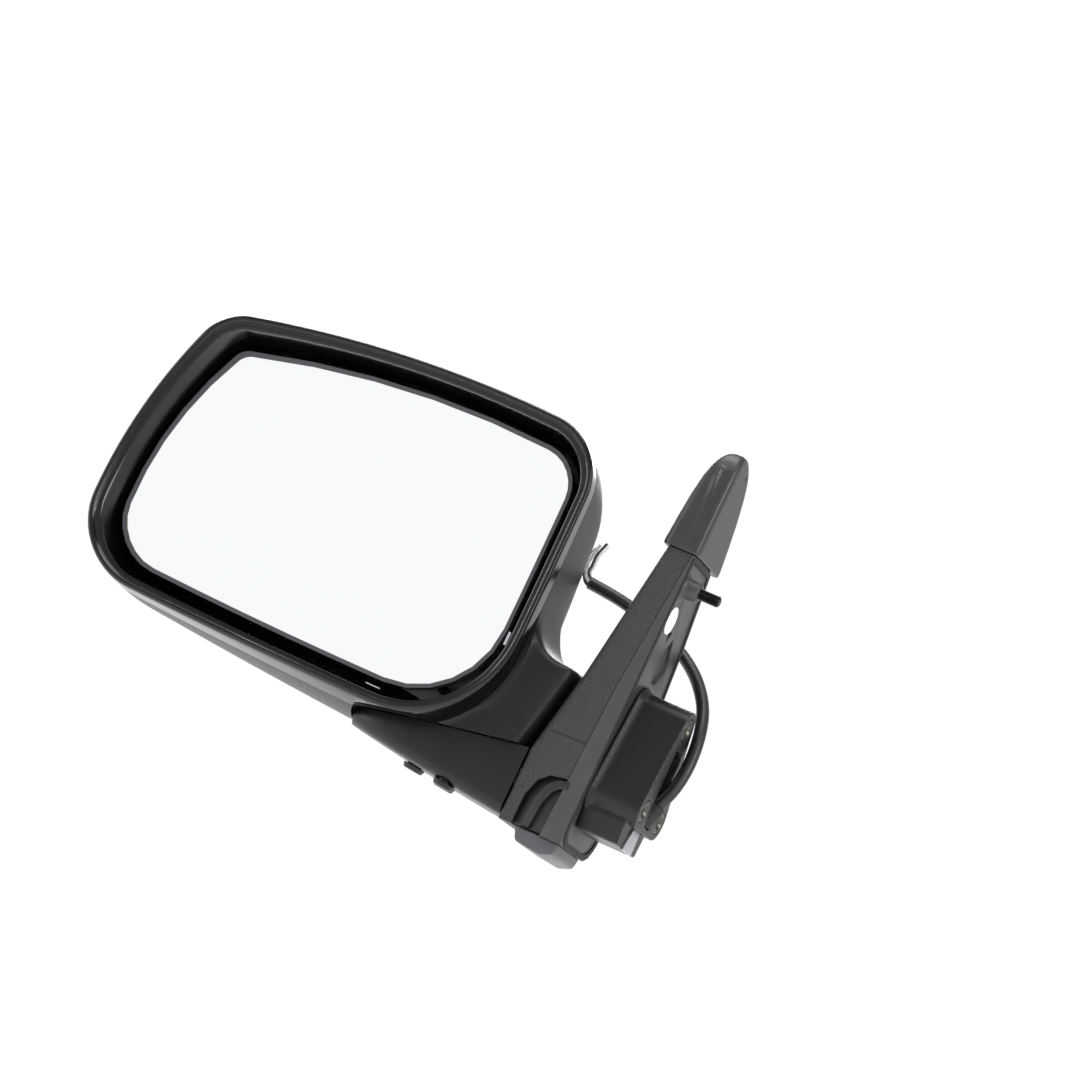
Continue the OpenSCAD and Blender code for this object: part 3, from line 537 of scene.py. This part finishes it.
# The inner side runs into the neck in a wide, soft fillet
FILLET_FROM_X, FILLET_LOW, FILLET_HIGH, FILLET_EDGE, LOW_EDGE = -92, -34, 40, 12, 10
fillet_zone = housing.vertex_groups.new(name="fillet")
for v in housing.data.vertices:
    x, z = v.co.x / MM, v.co.z / MM
    side_share = (x - FILLET_FROM_X) / FILLET_EDGE
    share = min(1, side_share, (z - FILLET_LOW) / LOW_EDGE, (FILLET_HIGH - z) / FILLET_EDGE)
    if share > 0:
        fillet_zone.add([v.index], share, "REPLACE")
soften = housing.modifiers.new("fillet", "SMOOTH")
soften.factor = 0.5
soften.vertex_group = "fillet"
soften.iterations = 70
bpy.ops.object.modifier_apply(modifier=soften.name)
housing.vertex_groups.clear()
hollow = head_solid("hollow", 2.4)
carve(hollow, neck_solid("neck_hollow", 2.4), "UNION")
carve(hollow, arm_room(2.4))
carve(housing, hollow)
carve(housing, block((-600, -600, -600), (600, BEZEL_Y, 600)))
carve(housing, cap_room(-0.3))
carve(housing, lens_room(2.5))
carve(housing, arm_room(0))
finish_edges(housing, 35)
# ASA moulded against a spark-eroded tool: satin, with a grain about 0.5 mm across
grained_asa, tree, shader = begin("fine_grained_black_asa", "#09090a", 0.46, Specular_IOR_Level=0.28)
place = add(tree, "ShaderNodeTexCoord")
grain = add(
    tree, "ShaderNodeTexNoise", None, {"Vector": place.outputs["Object"], "Scale": 1500.0, "Detail": 3.0},
)
cells = add(tree, "ShaderNodeTexVoronoi", None, {"Vector": place.outputs["Object"], "Scale": 1700.0})
both = add(
    tree, "ShaderNodeMath", {"operation": "ADD"}, {0: grain.outputs["Fac"], 1: cells.outputs["Distance"]},
)
rough = add(
    tree, "ShaderNodeMapRange", None, {"Value": grain.outputs["Fac"], "To Min": 0.36, "To Max": 0.56},
)
tree.links.new(rough.outputs["Result"], shader.inputs["Roughness"])
bump = add(
    tree, "ShaderNodeBump", None, {"Height": both.outputs["Value"], "Strength": 0.35, "Distance": 0.00012},
)
tree.links.new(bump.outputs["Normal"], shader.inputs["Normal"])
wear(housing, grained_asa)
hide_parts("head_housing")
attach(housing, "head")

# ---------------------------------------------------------------- Bright cap
# The chrome-plated ABS cap over the top and front of the head, clipped into
# the housing flush with it. Its wall is 2.4 mm and its faces are shaded smooth.
cap = head_solid("chrome_front_cap", 0)
carve(cap, head_solid("cap_hollow", 2.4))
carve(cap, cap_room(0.3), "INTERSECT")
carve(cap, lens_room(2.5))
finish_edges(cap, 35)
# Bright chrome over moulded ABS: a mirror finish with the slow ripple of a plated moulding
chrome, tree, shader = begin("chrome_plated_abs", "#f2f3f4", 0.05, Metallic=1.0)
place = add(tree, "ShaderNodeTexCoord")
ripple = add(
    tree, "ShaderNodeTexNoise", None, {"Vector": place.outputs["Object"], "Scale": 26.0, "Detail": 1.0},
)
haze = add(
    tree, "ShaderNodeTexNoise", None, {"Vector": place.outputs["Object"], "Scale": 700.0, "Detail": 3.0},
)
rough = add(
    tree, "ShaderNodeMapRange", None, {"Value": haze.outputs["Fac"], "To Min": 0.03, "To Max": 0.09},
)
tree.links.new(rough.outputs["Result"], shader.inputs["Roughness"])
bump = add(
    tree, "ShaderNodeBump", None, {"Height": ripple.outputs["Fac"], "Strength": 0.1, "Distance": 0.0008},
)
tree.links.new(bump.outputs["Normal"], shader.inputs["Normal"])
wear(cap, chrome)
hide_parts("chrome_cap")
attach(cap, "head")

# ---------------------------------------------------------------- Side indicator
# A clear polycarbonate wedge lens that wraps the outboard end, in a gloss
# black ABS frame 2.3 mm wide. The lens has fine moulded ribs inside and stands
# proud of the shell at its outer end; a metallised tray lies behind it.
frame_strip = head_solid("indicator_frame", 0, 2)
carve(frame_strip, lens_room(2.3), "INTERSECT")
carve(frame_strip, head_solid("strip_hollow", 3.4))
carve(frame_strip, lens_room(0.2))
carve(frame_strip, prism_y("well_room", [(p.x, p.y) for p in head_outline(0, 6.5)], -200, -22.7))
finish_edges(frame_strip, 35)
wear(frame_strip, gloss_abs)
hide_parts("indicator_surround")
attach(frame_strip, "head")

lens = head_solid("indicator_lens_clear", -0.5, 6)
carve(lens, lens_room(0), "INTERSECT")
carve(lens, head_solid("lens_hollow", 1.9, 6))
finish_edges(lens, 35)
# Injection-moulded polycarbonate: water clear, with moulded ribs 1.6 mm apart along the lens
clear_pc, tree, shader = begin("clear_polycarbonate", "#f4f7f8", 0.06, IOR=1.58, Alpha=0.55)
shader.inputs["Transmission Weight"].default_value = 0.6
place = add(tree, "ShaderNodeTexCoord")
ribs = add(
    tree, "ShaderNodeTexWave", {"bands_direction": "Z"}, {"Vector": place.outputs["Object"], "Scale": 98.0},
)
bump = add(
    tree, "ShaderNodeBump", None, {"Height": ribs.outputs["Fac"], "Strength": 0.7, "Distance": 0.0006},
)
tree.links.new(bump.outputs["Normal"], shader.inputs["Normal"])
wear(lens, clear_pc)
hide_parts("indicator_lens")
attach(lens, "head")

# Metallised ABS: bright, slightly soft, with the same ribs pressed into it
reflector_coat, tree, shader = begin("metallised_tray", "#dfe1e3", 0.22, Metallic=0.85)
place = add(tree, "ShaderNodeTexCoord")
ribs = add(
    tree, "ShaderNodeTexWave", {"bands_direction": "Z"}, {"Vector": place.outputs["Object"], "Scale": 98.0},
)
bump = add(
    tree, "ShaderNodeBump", None, {"Height": ribs.outputs["Fac"], "Strength": 0.6, "Distance": 0.0005},
)
tree.links.new(bump.outputs["Normal"], shader.inputs["Normal"])
wear(nodes["indicator_reflector"], reflector_coat)

# ---------------------------------------------------------------- Sail cover
# The triangular cover at the foot of the window: ABS moulded with a coarse
# leather grain, clipped over the plate, with rounded edges.


def remade(node, name, angle=35, width=0.0, limit=40):
    """A copy of a CAD node's mesh, merged, with its edges rounded and its curves smooth."""
    mesh = nodes[node].data.copy()
    made = bpy.data.objects.new(name, mesh)
    bpy.context.scene.collection.objects.link(made)
    only(made)
    bpy.ops.object.mode_set(mode="EDIT")
    bpy.ops.mesh.select_all(action="SELECT")
    bpy.ops.mesh.customdata_custom_splitnormals_clear()
    bpy.ops.mesh.remove_doubles(threshold=0.00002)
    bpy.ops.mesh.dissolve_limited(angle_limit=math.radians(0.5))
    bpy.ops.object.mode_set(mode="OBJECT")
    finish_edges(made, angle, width, limit)
    return made


cover = remade("sail_cover", "sail_cover_grained", 40)
# The lower rear corner is cut away beside the flange, and a fine parting line crosses above it
notch = [(-28.5, -90), (-28, -62), (-25, -53), (-20, -48.5), (-12, -47), (-4, -47), (-4, -90)]
carve(cover, prism_y("notch", notch, -40, -23))
carve(cover, prism_y("parting", [(-60, -28.6), (-60, -28.0), (10, -26.6), (10, -27.2)], -40, -29.6))
finish_edges(cover, 40, 0.6, 50)
# ABS with a coarse grain about 1 mm across; painted shade darkens the colour in the grain's hollows
coarse_abs, tree, shader = begin("coarse_grained_abs", "#1c1c1e", 0.55, Specular_IOR_Level=0.4)
place = add(tree, "ShaderNodeTexCoord")
grain = add(tree, "ShaderNodeTexVoronoi", None, {"Vector": place.outputs["Object"], "Scale": 700.0})
pits = add(
    tree, "ShaderNodeTexNoise", None, {"Vector": place.outputs["Object"], "Scale": 1300.0, "Detail": 3.0},
)
both = add(
    tree, "ShaderNodeMath", {"operation": "ADD"}, {0: grain.outputs["Distance"], 1: pits.outputs["Fac"]},
)
# Painted shade: the colour follows the grain's height and is darker in its hollows
shade = add(tree, "ShaderNodeValToRGB", None, {"Fac": both.outputs["Value"]})
shade.color_ramp.elements[0].color = tone("#0e0e0f")
shade.color_ramp.elements[0].position = 0.35
shade.color_ramp.elements[1].color = tone("#242427")
shade.color_ramp.elements[1].position = 1.0
tree.links.new(shade.outputs["Color"], shader.inputs["Base Color"])
bump = add(
    tree, "ShaderNodeBump", None, {"Height": both.outputs["Value"], "Strength": 0.9, "Distance": 0.0005},
)
tree.links.new(bump.outputs["Normal"], shader.inputs["Normal"])
wear(cover, coarse_abs)
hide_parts("sail_cover")
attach(cover, "base")

# The flange that lies in the cut-away: a smooth bent strip of satin ABS moulded on the plate
flange_path = [
    (-9, -47.8), (-15, -49), (-19.5, -53.5), (-22, -62), (-23, -76.5),
    (-18.8, -76.5), (-17.8, -63), (-15.5, -56), (-12.5, -52.8), (-9, -52),
]
flange = prism_y("plate_flange", flange_path, -30.6, -22)
finish_edges(flange, 40, 0.5, 30)
# A dark web of the same moulding closes the cut-away behind the flange
web = prism_y("flange_web", [(-31, -77), (-30, -58), (-22, -47.5), (-9, -46.5), (-9, -77)], -25.6, -24.6)
finish_edges(web, 40, 0.2, 30)
flange_abs, tree, shader = begin("smooth_black_abs", "#141416", 0.34, Specular_IOR_Level=0.45)
place = add(tree, "ShaderNodeTexCoord")
fine = add(
    tree, "ShaderNodeTexNoise", None, {"Vector": place.outputs["Object"], "Scale": 1100.0, "Detail": 3.0},
)
rough = add(
    tree, "ShaderNodeMapRange", None, {"Value": fine.outputs["Fac"], "To Min": 0.28, "To Max": 0.42},
)
tree.links.new(rough.outputs["Result"], shader.inputs["Roughness"])
wear(flange, flange_abs)
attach(flange, "base")
wear(web, flange_abs)
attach(web, "base")

# ---------------------------------------------------------------- Door plate
# The glass-filled nylon plate that lies on the door: an open back with a
# teardrop recess, a small triangular hole and a tongue under the boot.
plate = remade("mounting_plate", "door_plate", 40, 0.4, 45)
# Glass-filled nylon, mid grey and dry, with the faint streaks of its filling
nylon, tree, shader = begin("glass_filled_nylon", "#2e2f31", 0.45, Specular_IOR_Level=0.4)
place = add(tree, "ShaderNodeTexCoord")
streaks = add(
    tree, "ShaderNodeTexNoise", None, {"Vector": place.outputs["Object"], "Scale": 120.0, "Detail": 6.0},
)
shade = add(tree, "ShaderNodeValToRGB", None, {"Fac": streaks.outputs["Fac"]})
shade.color_ramp.elements[0].color = tone("#242527")
shade.color_ramp.elements[1].color = tone("#38393b")
tree.links.new(shade.outputs["Color"], shader.inputs["Base Color"])
fine = add(
    tree, "ShaderNodeTexNoise", None, {"Vector": place.outputs["Object"], "Scale": 1600.0, "Detail": 2.0},
)
bump = add(
    tree, "ShaderNodeBump", None, {"Height": fine.outputs["Fac"], "Strength": 0.25, "Distance": 0.0001},
)
tree.links.new(bump.outputs["Normal"], shader.inputs["Normal"])
wear(plate, nylon)
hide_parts("mounting_plate")
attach(plate, "base")

# ---------------------------------------------------------------- Boot
# The soft EPDM boot that slides over the plate's tongue and seals against the
# window frame: thick, satin, with rounded edges.
boot = remade("top_boot", "rubber_boot", 50)
ridge = skinned("ridge", [
    [Vector((x + r * math.cos(w), -31.2 + r * math.sin(w), z)) * MM
     for w in [2 * math.pi * k / 16 for k in range(16)]]
    for x, z, r in (
        (-8, 130, 0.4), (-7.6, 122, 1.0), (-6.5, 112, 1.2),
        (-5.5, 98, 1.2), (-4.8, 88, 0.9), (-4.6, 82, 0.4),
    )
])
carve(boot, ridge, "UNION")
only(boot)
boot.data.remesh_voxel_size = 0.0009
bpy.ops.object.voxel_remesh()
soften = boot.modifiers.new("soften", "SMOOTH")
soften.factor = 0.5
soften.iterations = 26
bpy.ops.object.modifier_apply(modifier=soften.name)
finish_edges(boot, 60)
# EPDM rubber: dark grey, satin, with a fine dusty bloom
epdm, tree, shader = begin("epdm_rubber", "#1c1d1e", 0.42, Specular_IOR_Level=0.45)
place = add(tree, "ShaderNodeTexCoord")
bloom = add(
    tree, "ShaderNodeTexNoise", None, {"Vector": place.outputs["Object"], "Scale": 90.0, "Detail": 5.0},
)
shade = add(tree, "ShaderNodeValToRGB", None, {"Fac": bloom.outputs["Fac"]})
shade.color_ramp.elements[0].color = tone("#161718")
shade.color_ramp.elements[1].color = tone("#232426")
tree.links.new(shade.outputs["Color"], shader.inputs["Base Color"])
fine = add(
    tree, "ShaderNodeTexNoise", None, {"Vector": place.outputs["Object"], "Scale": 1200.0, "Detail": 3.0},
)
bump = add(
    tree, "ShaderNodeBump", None, {"Height": fine.outputs["Fac"], "Strength": 0.2, "Distance": 0.0001},
)
tree.links.new(bump.outputs["Normal"], shader.inputs["Normal"])
wear(boot, epdm)
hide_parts("top_boot")
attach(boot, "base")

# ---------------------------------------------------------------- Arm and plugs
# The arm's moulded cover under the head, cut off by the turning seam, and the
# three round plugs pressed into its underside.
arm = remade("arm_cover", "arm_shell", 35, 0.5, 45)
# Satin ABS from a lightly blasted tool
satin_abs, tree, shader = begin("satin_black_abs", "#08080a", 0.4, Specular_IOR_Level=0.3)
place = add(tree, "ShaderNodeTexCoord")
fine = add(
    tree, "ShaderNodeTexNoise", None, {"Vector": place.outputs["Object"], "Scale": 1300.0, "Detail": 3.0},
)
rough = add(tree, "ShaderNodeMapRange", None, {"Value": fine.outputs["Fac"], "To Min": 0.32, "To Max": 0.5})
tree.links.new(rough.outputs["Result"], shader.inputs["Roughness"])
bump = add(
    tree, "ShaderNodeBump", None, {"Height": fine.outputs["Fac"], "Strength": 0.2, "Distance": 0.0001},
)
tree.links.new(bump.outputs["Normal"], shader.inputs["Normal"])
wear(arm, satin_abs)
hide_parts("arm_cover")
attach(arm, "base")
plugs = remade("arm_plugs", "arm_plug_set", 35, 0.4, 45)
wear(plugs, satin_abs)
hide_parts("arm_plugs")
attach(plugs, "base")

# ---------------------------------------------------------------- Bolt housing
# The three-lobed nylon block that reaches into the door, with a threaded
# insert in each lobe and a dome for the lead.
bolt_block = remade("boss_housing", "bolt_block", 35)
LOBES = [(-7.5, 1), (-16.5, -45), (17.6, -45)]


def prism_x(name, outline, low, high):
    """An outline in Y and Z drawn out along X, in millimetres."""
    return skinned(name, [[Vector((x, y, z)) * MM for y, z in outline] for x in (low, high)])


def turned(name, profile, spot, sides=48):
    """A turned piece along X: a profile of (x, radius) about a spot in Y and Z."""
    return skinned(name, [
        [Vector((x, spot[0] + r * math.cos(w), spot[1] + r * math.sin(w))) * MM
         for w in [2 * math.pi * k / sides for k in range(sides)]]
        for x, r in profile
    ])


def lobes_outline(radius, sides=40):
    """The outline round the three lobes, at a radius."""
    points = [(y + radius * math.cos(w), z + radius * math.sin(w))
              for y, z in LOBES for w in [2 * math.pi * k / sides for k in range(sides)]]
    middle = (sum(p[0] for p in points) / len(points), sum(p[1] for p in points) / len(points))
    reach = {}
    for step in range(120):
        w = 2 * math.pi * step / 120
        d = (math.cos(w), math.sin(w))
        best = max(points, key=lambda p: (p[0] - middle[0]) * d[0] + (p[1] - middle[1]) * d[1])
        reach[best] = True
    order = sorted(reach, key=lambda p: math.atan2(p[1] - middle[1], p[0] - middle[0]))
    return order


# The foot flares on to the plate, and the face between the lobes is sunk
carve(bolt_block, prism_x("foot_flare", lobes_outline(11.8), -0.5, 1.4), "UNION")
carve(bolt_block, prism_x("foot_flare", lobes_outline(10.6), 1.3, 2.8), "UNION")
sunk = [(-9.5, -10), (1.5, -10), (8.5, -37), (6, -51), (-4.5, -51), (-7, -37)]
carve(bolt_block, prism_x("sunk_face", sunk, 20.5, 40))
only(bolt_block)
bolt_block.data.remesh_voxel_size = 0.0007
bpy.ops.object.voxel_remesh()
soften = bolt_block.modifiers.new("soften", "SMOOTH")
soften.factor = 0.5
soften.iterations = 7
bpy.ops.object.modifier_apply(modifier=soften.name)
finish_edges(bolt_block, 50)
wear(bolt_block, satin_abs)
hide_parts("boss_housing")
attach(bolt_block, "base")

# A pale pressed-aluminium stiffener shows between the lobes and at the block's lower end
stiffener = prism_x(
    "block_stiffener", [(-9, -10.5), (1, -10.5), (8, -37), (5.5, -50.5), (-4, -50.5), (-6.5, -37)], 20.2,
    21.4,
)
carve(stiffener, prism_x("tongue", [(-4.5, -49), (6, -49), (9, -66.5), (-9, -66.5)], 22.8, 24.2), "UNION")
finish_edges(stiffener, 40, 0.3, 45)
pressed, tree, shader = begin("pressed_aluminium", "#a6a8ab", 0.42, Metallic=1.0)
place = add(tree, "ShaderNodeTexCoord")
rolled = add(
    tree, "ShaderNodeTexNoise", None, {"Vector": place.outputs["Object"], "Scale": 500.0, "Detail": 5.0},
)
rough = add(
    tree, "ShaderNodeMapRange", None, {"Value": rolled.outputs["Fac"], "To Min": 0.34, "To Max": 0.52},
)
tree.links.new(rough.outputs["Result"], shader.inputs["Roughness"])
wear(stiffener, pressed)
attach(stiffener, "base")

# ---------------------------------------------------------------- Inserts and stud
# Knurled brass inserts with a flanged mouth are pressed into the lobes. The
# stud is M6 steel, blackened, with rolled threads 1 mm apart; it stands in a
# grey moulded collar near the plate's top.
rings = None
for y, z in LOBES:
    profile = [
        (14, 5.8), (15, 6.0), (27.0, 6.0), (27.6, 5.7), (28.0, 5.2), (28.0, 4.4), (27.6, 4.1), (27.6, 3.4),
    ]
    profile += [(27.6 - 0.5 * k, 3.1 if k % 2 else 2.55) for k in range(1, 24)]
    profile += [(14.6, 2.5), (14.0, 2.6)]
    n = len(profile)
    circles = [[Vector((x, y + r * math.cos(w), z + r * math.sin(w))) * MM
                for w in [2 * math.pi * k / 40 for k in range(40)]] for x, r in profile]
    ring = skinned("insert", circles, closed=True)
    if rings is None:
        rings = ring
    else:
        bpy.ops.object.select_all(action="DESELECT")
        ring.select_set(True)
        rings.select_set(True)
        bpy.context.view_layer.objects.active = rings
        bpy.ops.object.join()
rings.name = "threaded_inserts"
finish_edges(rings, 30)
plated_brass, tree, shader = begin("plated_brass", "#4c4a45", 0.32, Metallic=1.0)
place = add(tree, "ShaderNodeTexCoord")
turning = add(
    tree, "ShaderNodeTexNoise", None, {"Vector": place.outputs["Object"], "Scale": 900.0, "Detail": 4.0},
)
rough = add(
    tree, "ShaderNodeMapRange", None, {"Value": turning.outputs["Fac"], "To Min": 0.24, "To Max": 0.42},
)
tree.links.new(rough.outputs["Result"], shader.inputs["Roughness"])
wear(rings, plated_brass)
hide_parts("boss_inserts")
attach(rings, "base")

STUD = (-21.5, 64.5)
thread = [(-6, 2.6), (6.0, 2.6)] + [(6.5 + 0.5 * k, 3.0 if k % 2 else 2.5) for k in range(24)] + [
    (18.6, 2.4), (19, 2.0),
]
stud = turned("stud_threaded", thread, STUD)
finish_edges(stud, 25)
black_steel, tree, shader = begin("blackened_steel", "#1c1c1e", 0.38, Metallic=1.0)
place = add(tree, "ShaderNodeTexCoord")
oil = add(
    tree, "ShaderNodeTexNoise", None, {"Vector": place.outputs["Object"], "Scale": 600.0, "Detail": 4.0},
)
rough = add(tree, "ShaderNodeMapRange", None, {"Value": oil.outputs["Fac"], "To Min": 0.3, "To Max": 0.5})
tree.links.new(rough.outputs["Result"], shader.inputs["Roughness"])
wear(stud, black_steel)
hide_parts("locating_stud")
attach(stud, "base")
collar = turned("stud_collar", [
    (-0.7, 2.9), (-0.7, 8.0), (-0.4, 7.2), (0.4, 6.0), (1.6, 5.4),
    (3.2, 5.2), (7.0, 4.9), (7.6, 4.6), (8.0, 4.0), (8.0, 2.9),
], STUD)
finish_edges(collar, 40)
wear(collar, nylon)
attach(collar, "base")

# ---------------------------------------------------------------- Metals and small parts
# Screws, cast pieces, springs, clips, seals and the glass drive keep their
# shapes from the model, and each gets the finish of its own metal or plastic.


def metal(name, colour, roughness, low, high, scale):
    made, tree, shader = begin(name, colour, roughness, Metallic=1.0)
    place = add(tree, "ShaderNodeTexCoord")
    marks = add(
        tree, "ShaderNodeTexNoise", None,
        {"Vector": place.outputs["Object"], "Scale": scale, "Detail": 4.0},
    )
    rough = add(
        tree, "ShaderNodeMapRange", None, {"Value": marks.outputs["Fac"], "To Min": low, "To Max": high},
    )
    tree.links.new(rough.outputs["Result"], shader.inputs["Roughness"])
    bump = add(
        tree, "ShaderNodeBump", None, {"Height": marks.outputs["Fac"], "Strength": 0.1, "Distance": 0.0001},
    )
    tree.links.new(bump.outputs["Normal"], shader.inputs["Normal"])
    return made


def moulded(name, colour, roughness, scale, strength):
    made, tree, shader = begin(name, colour, roughness)
    place = add(tree, "ShaderNodeTexCoord")
    marks = add(
        tree, "ShaderNodeTexNoise", None,
        {"Vector": place.outputs["Object"], "Scale": scale, "Detail": 3.0},
    )
    rough = add(tree, "ShaderNodeMapRange", None,
                {"Value": marks.outputs["Fac"], "To Min": roughness - 0.08, "To Max": roughness + 0.1})
    tree.links.new(rough.outputs["Result"], shader.inputs["Roughness"])
    bump = add(
        tree, "ShaderNodeBump", None,
        {"Height": marks.outputs["Fac"], "Strength": strength, "Distance": 0.0001},
    )
    tree.links.new(bump.outputs["Normal"], shader.inputs["Normal"])
    return made


steel = metal("bright_zinc_steel", "#b9bbbf", 0.32, 0.24, 0.42, 700.0)
for name in ("fold_spring", "detent_ring", "bracket_screws", "pivot_tube", "spring_retainer",
             "drive_motors", "actuator_screws", "bezel_clips"):
    wear(nodes[name], steel)
cast = metal("die_cast_aluminium", "#a4a6aa", 0.5, 0.42, 0.62, 260.0)
for name in ("base_bracket", "head_frame"):
    wear(nodes[name], cast)
lip = remade("lower_seal", "lower_lip", 40, 0.8, 30)
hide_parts("lower_seal")
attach(lip, "base")
wear(lip, moulded("grey_tpe", "#3c3d40", 0.5, 900.0, 0.2))
seal_rubber = moulded("black_foam_seal", "#141415", 0.75, 1500.0, 0.5)
for name in ("door_gasket", "cable_gland", "heater_pad", "head_harness"):
    wear(nodes[name], seal_rubber)
wear(nodes["round_sticker"], moulded("blank_paper_label", "#efefec", 0.6, 1200.0, 0.1))
wear(nodes["indicator_board"], moulded("lacquered_board", "#2b5c36", 0.35, 400.0, 0.1))
drive_case = moulded("black_pbt_case", "#1b1b1d", 0.45, 1100.0, 0.2)
for name in ("actuator_body", "actuator_cover"):
    wear(nodes[name], drive_case)
acetal = moulded("natural_acetal", "#dcd9cc", 0.35, 600.0, 0.1)
for name in ("drive_worms", "gimbal_ring", "tilt_jack", "pan_jack", "tilt_gear", "pan_gear"):
    wear(nodes[name], acetal)

# ---------------------------------------------------------------- Glass tray
# The grey plastic tray that holds the mirror glass; its rim shows as a narrow
# grey band all round, and it snaps on the drive's ball joints.
wear(nodes["glass_holder"], moulded("grey_tray_plastic", "#3a3c40", 0.38, 900.0, 0.15))

# ---------------------------------------------------------------- Mirror glass
# Flat float glass, 2 mm thick, silvered, with its edge ground.
silvered, tree, shader = begin("silvered_float_glass", "#f7f9fa", 0.012, Metallic=1.0)
place = add(tree, "ShaderNodeTexCoord")
haze = add(
    tree, "ShaderNodeTexNoise", None, {"Vector": place.outputs["Object"], "Scale": 35.0, "Detail": 4.0},
)
rough = add(
    tree, "ShaderNodeMapRange", None, {"Value": haze.outputs["Fac"], "To Min": 0.006, "To Max": 0.03},
)
tree.links.new(rough.outputs["Result"], shader.inputs["Roughness"])
wear(nodes["mirror_glass"], silvered)
